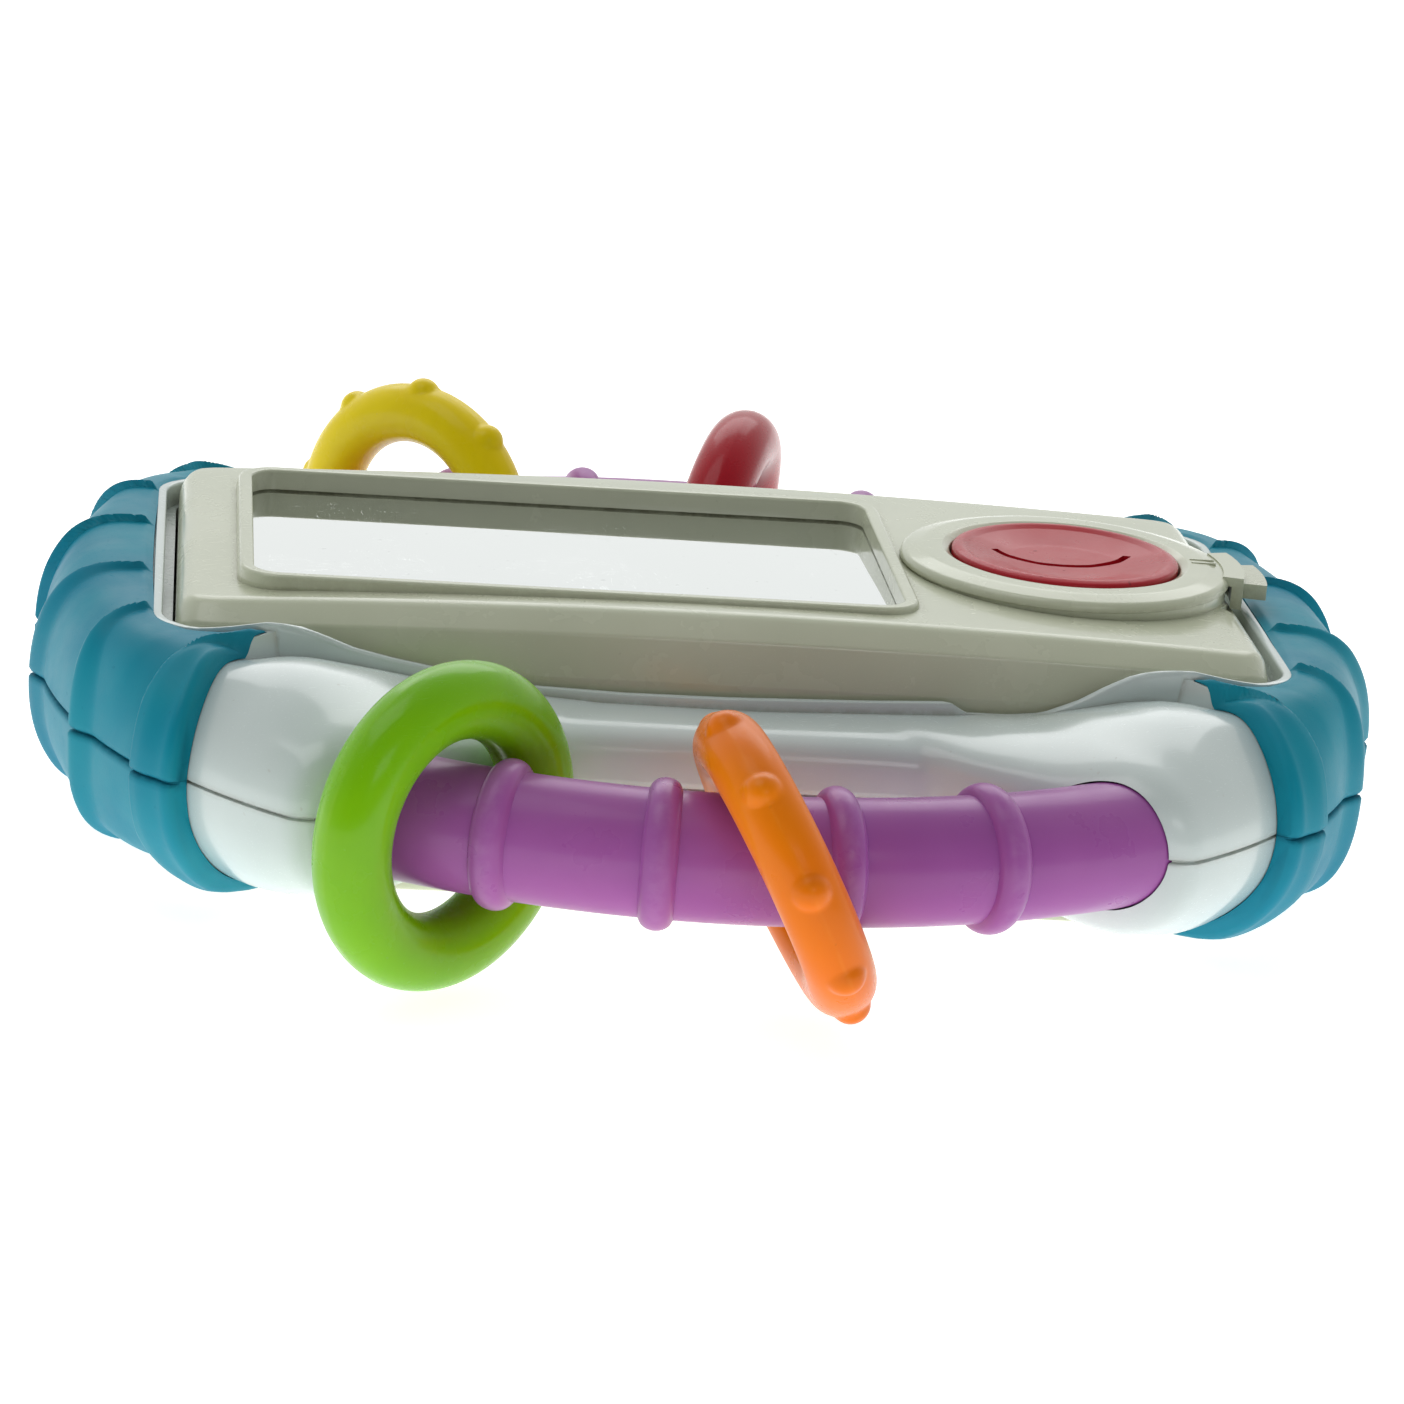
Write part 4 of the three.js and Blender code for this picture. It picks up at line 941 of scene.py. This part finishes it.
lever = combine(
    sector(24.0, LEVER_REACH, LEVER_HALF_ANGLE, LEVER_TOP - 1.4, LEVER_TOP),
    [sector(SELECTOR_OUTER + 0.8, LEVER_REACH, LEVER_HALF_ANGLE, LEVER_TOP - 4.8, LEVER_TOP)], "UNION")
combine(lever, [sector(26.2, TAB_REACH, TAB_HALF_ANGLE, LEVER_TOP - 3.6, LEVER_TOP - 1.3)], "UNION")
soften(lever, 0.75, 4)
marks = [slab("tool", 1.9, 0.3, 0.25, SELECTOR_TOP - 0.8, SELECTOR_TOP + 0.12, (BUTTON_X + 21.1, y), 0.1)
         for y in (-0.9, 0.9)]
combine(selector, [lever, *marks], "UNION")
# Painted shade: the bezel darkens towards its foot, where it sits on the cover.
paint(selector, "grime_and_shade", lambda x, y, z: smooth(SELECTOR_SEAT + 0.8, SELECTOR_SEAT, z) * 0.5)
finish_piece(selector, "selector_bezel", "selector", CREAM, ["selector_ring"], sharp=32)

SHOULDER_Z = SEAM_Z + 16.4
button = revolve("button", fillet([
    (0, SEAM_Z + 9), (3, SEAM_Z + 9), (3, SEAM_Z + 19), (15, SEAM_Z + 19), (15, SHOULDER_Z),
    (18.9, SHOULDER_Z), (18.9, SHOULDER_Z + 1.6), (BUTTON_RADIUS, SHOULDER_Z + 1.6),
    (BUTTON_RADIUS, BUTTON_TOP - 0.5),
    (BUTTON_RADIUS - 1.3, BUTTON_TOP), (14.6, BUTTON_TOP - 0.6), (9, BUTTON_TOP - 1.8), (4, BUTTON_TOP - 2.1),
    (0, BUTTON_TOP - 2.1),
], [0, 0, 0, 0, 0, 0, 0, 0.6, 1.1, 1.2, 8, 8], 0.12), (BUTTON_X, 0), 200)
dish_groove = sector(12.3, 13.7, 52, BUTTON_TOP - 2.6, BUTTON_TOP + 1, centre=(BUTTON_X, 12), turn=-90)
combine(button, [dish_groove])
paint(button, "wear", lambda x, y, z: smooth(BUTTON_TOP - 0.5, BUTTON_TOP, z) * 0.3)
finish_piece(button, "call_button_cap", "button", BUTTON, ["call_button"], sharp=32)

DOOR_X, DOOR_HALF_X, DOOR_HALF_Y, DOOR_SCREW_X = -35, 31, 18, -7
CASE_SCREWS = [(-73.9, -20), (-73.9, 20), (73.9, -22), (73.9, 22)]
CASE_POST_RADIUS = 4.6
SPEAKER_HOLE, SPEAKER_HOLE_RING = 1.5, 7
speaker_holes = [(0, 0), *[(SPEAKER_HOLE_RING, i * TAU / 6) for i in range(6)]]

rear_cover = cover_body(REAR_PROFILE, -1, 0, 0, REAR_TOP, REAR_CORNER, REAR_END_ROUND, 1)
rear_hollow = cover_body(REAR_PROFILE, -1, WALL, 0, REAR_TOP, REAR_CORNER - WALL, REAR_END_ROUND - WALL, 1)
combine(rear_cover, [rear_hollow])
combine(rear_cover, [drum(x, y, CASE_POST_RADIUS, 3.2, 8) for x, y in CASE_SCREWS], "UNION")
combine(rear_cover, [
    slab("tool", DOOR_HALF_X + 0.3, DOOR_HALF_Y + 0.3, 3, -5, 4.5, (DOOR_X, 0)),
    *[drum(x, y, SINK_RADIUS, -5, 5.4) for x, y in CASE_SCREWS],
    *[drum(x, y, SCREW_HOLE, -5, 12) for x, y in CASE_SCREWS],
    *[drum(BUTTON_X + reach * math.cos(turn), reach * math.sin(turn), SPEAKER_HOLE, -5, 4, 32)
      for reach, turn in speaker_holes],
])
paint(rear_cover, "grime_and_shade", lambda x, y, z: np.exp(-(np.abs(z - SEAM_Z) / 0.6) ** 2))
finish_piece(rear_cover, "phone_rear_case", "toy", CREAM, ["phone_rear_cover"], sharp=30)

door = slab("door", DOOR_HALF_X, DOOR_HALF_Y, 2.7, 0.3, 2.2, (DOOR_X, 0), 0.4)
combine(door, [
    drum(DOOR_SCREW_X, 0, 3.3, -2, 1.6), drum(DOOR_SCREW_X, 0, SCREW_HOLE, -2, 5),
    *[block(DOOR_X - 25.5 + i * 3, DOOR_X - 24 + i * 3, -9, 9, -1, 0.9) for i in (-1, 0, 1)],
])
finish_piece(door, "battery_door_panel", "toy", CREAM, ["battery_door"], sharp=30)


# ---------------------------------------------------------------- small parts kept from the CAD model

CARRIED = {
    "contact_pad": RUBBER, "button_spring": SPRING, "circuit_board": BOARD, "sound_chip": RESIN,
    "speaker_cone": PAPER, "speaker_magnet": MAGNET, "battery_front": CELL, "battery_back": CELL,
    "battery_contact_left": SPRING, "battery_contact_right": SPRING, "battery_door_screw": STEEL,
    "speaker_lead_red": RED_WIRE, "speaker_lead_black": BLACK_WIRE,
    "battery_lead_red": RED_WIRE, "battery_lead_black": BLACK_WIRE,
    **{f"frame_screw_{i}": STEEL for i in range(1, 5)},
    **{f"case_screw_{i}": STEEL for i in range(1, 5)},
}
for name, material in CARRIED.items():
    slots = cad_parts[name].material_slots
    for index in range(len(slots)):
        slots[index].material = material


# ---------------------------------------------------------------- floor and light

FLOOR_REACH, FLOOR_LEVEL = 9000, -0.2
FLOOR_GLOW = 0.78
SKY_TILT = -0.35
SKY_RANGE = (("From Min", -1), ("From Max", 0.8), ("To Min", 0.16), ("To Max", 0.95))
corners = [(x * FLOOR_REACH, y * FLOOR_REACH, FLOOR_LEVEL) for x, y in ((-1, -1), (1, -1), (1, 1), (-1, 1))]
floor = link("floor", corners, [[0, 1, 2, 3]])
graph = Graph("floor")
sheet = graph.blend(graph.range(graph.noise(600), 0.3, 0.7), linear(246, 248, 246), linear(240, 243, 241))
graph.set(Base_Color=sheet, Roughness=0.7, Emission_Color=(1, 1, 1, 1), Emission_Strength=FLOOR_GLOW)
floor.data.materials.append(graph.material)

world = bpy.data.worlds.new("studio")
scene.world = world
world.use_nodes = True
tree = world.node_tree
background = tree.nodes["Background"]
coord = tree.nodes.new("ShaderNodeTexCoord")
split = tree.nodes.new("ShaderNodeSeparateXYZ")
tree.links.new(coord.outputs["Generated"], split.inputs[0])
depth = tree.nodes.new("ShaderNodeMapRange")
depth.interpolation_type = "SMOOTHSTEP"
overhead = tree.nodes.new("ShaderNodeMath")
overhead.operation = "MULTIPLY_ADD"
tree.links.new(split.outputs[2], overhead.inputs[0])
overhead.inputs[1].default_value = SKY_TILT
tree.links.new(split.outputs[1], overhead.inputs[2])
tree.links.new(overhead.outputs[0], depth.inputs["Value"])
for key, value in SKY_RANGE:
    depth.inputs[key].default_value = value
tree.links.new(depth.outputs[0], background.inputs["Strength"])
background.inputs["Color"].default_value = (0.98, 1.0, 0.985, 1)


def softbox(name, place, width, height, power):
    """Rectangular lamp that faces the toy."""
    data = bpy.data.lights.new(name, "AREA")
    data.shape = "RECTANGLE"
    data.size, data.size_y = width, height
    data.energy = power
    lamp = bpy.data.objects.new(name, data)
    scene.collection.objects.link(lamp)
    lamp.location = place
    lamp.rotation_euler = (LIGHT_TARGET - Vector(place)).to_track_quat("-Z", "Y").to_euler()


LIGHT_TARGET = Vector((0, 0, 0.03))
softbox("back_light", (0.1, 1.3, 1.1), 1.6, 0.9, 7)
softbox("top_light", (-0.5, -0.1, 1.3), 0.8, 0.8, 2.5)
softbox("front_fill", (0.35, -1.2, 0.7), 0.5, 0.35, 0.9)
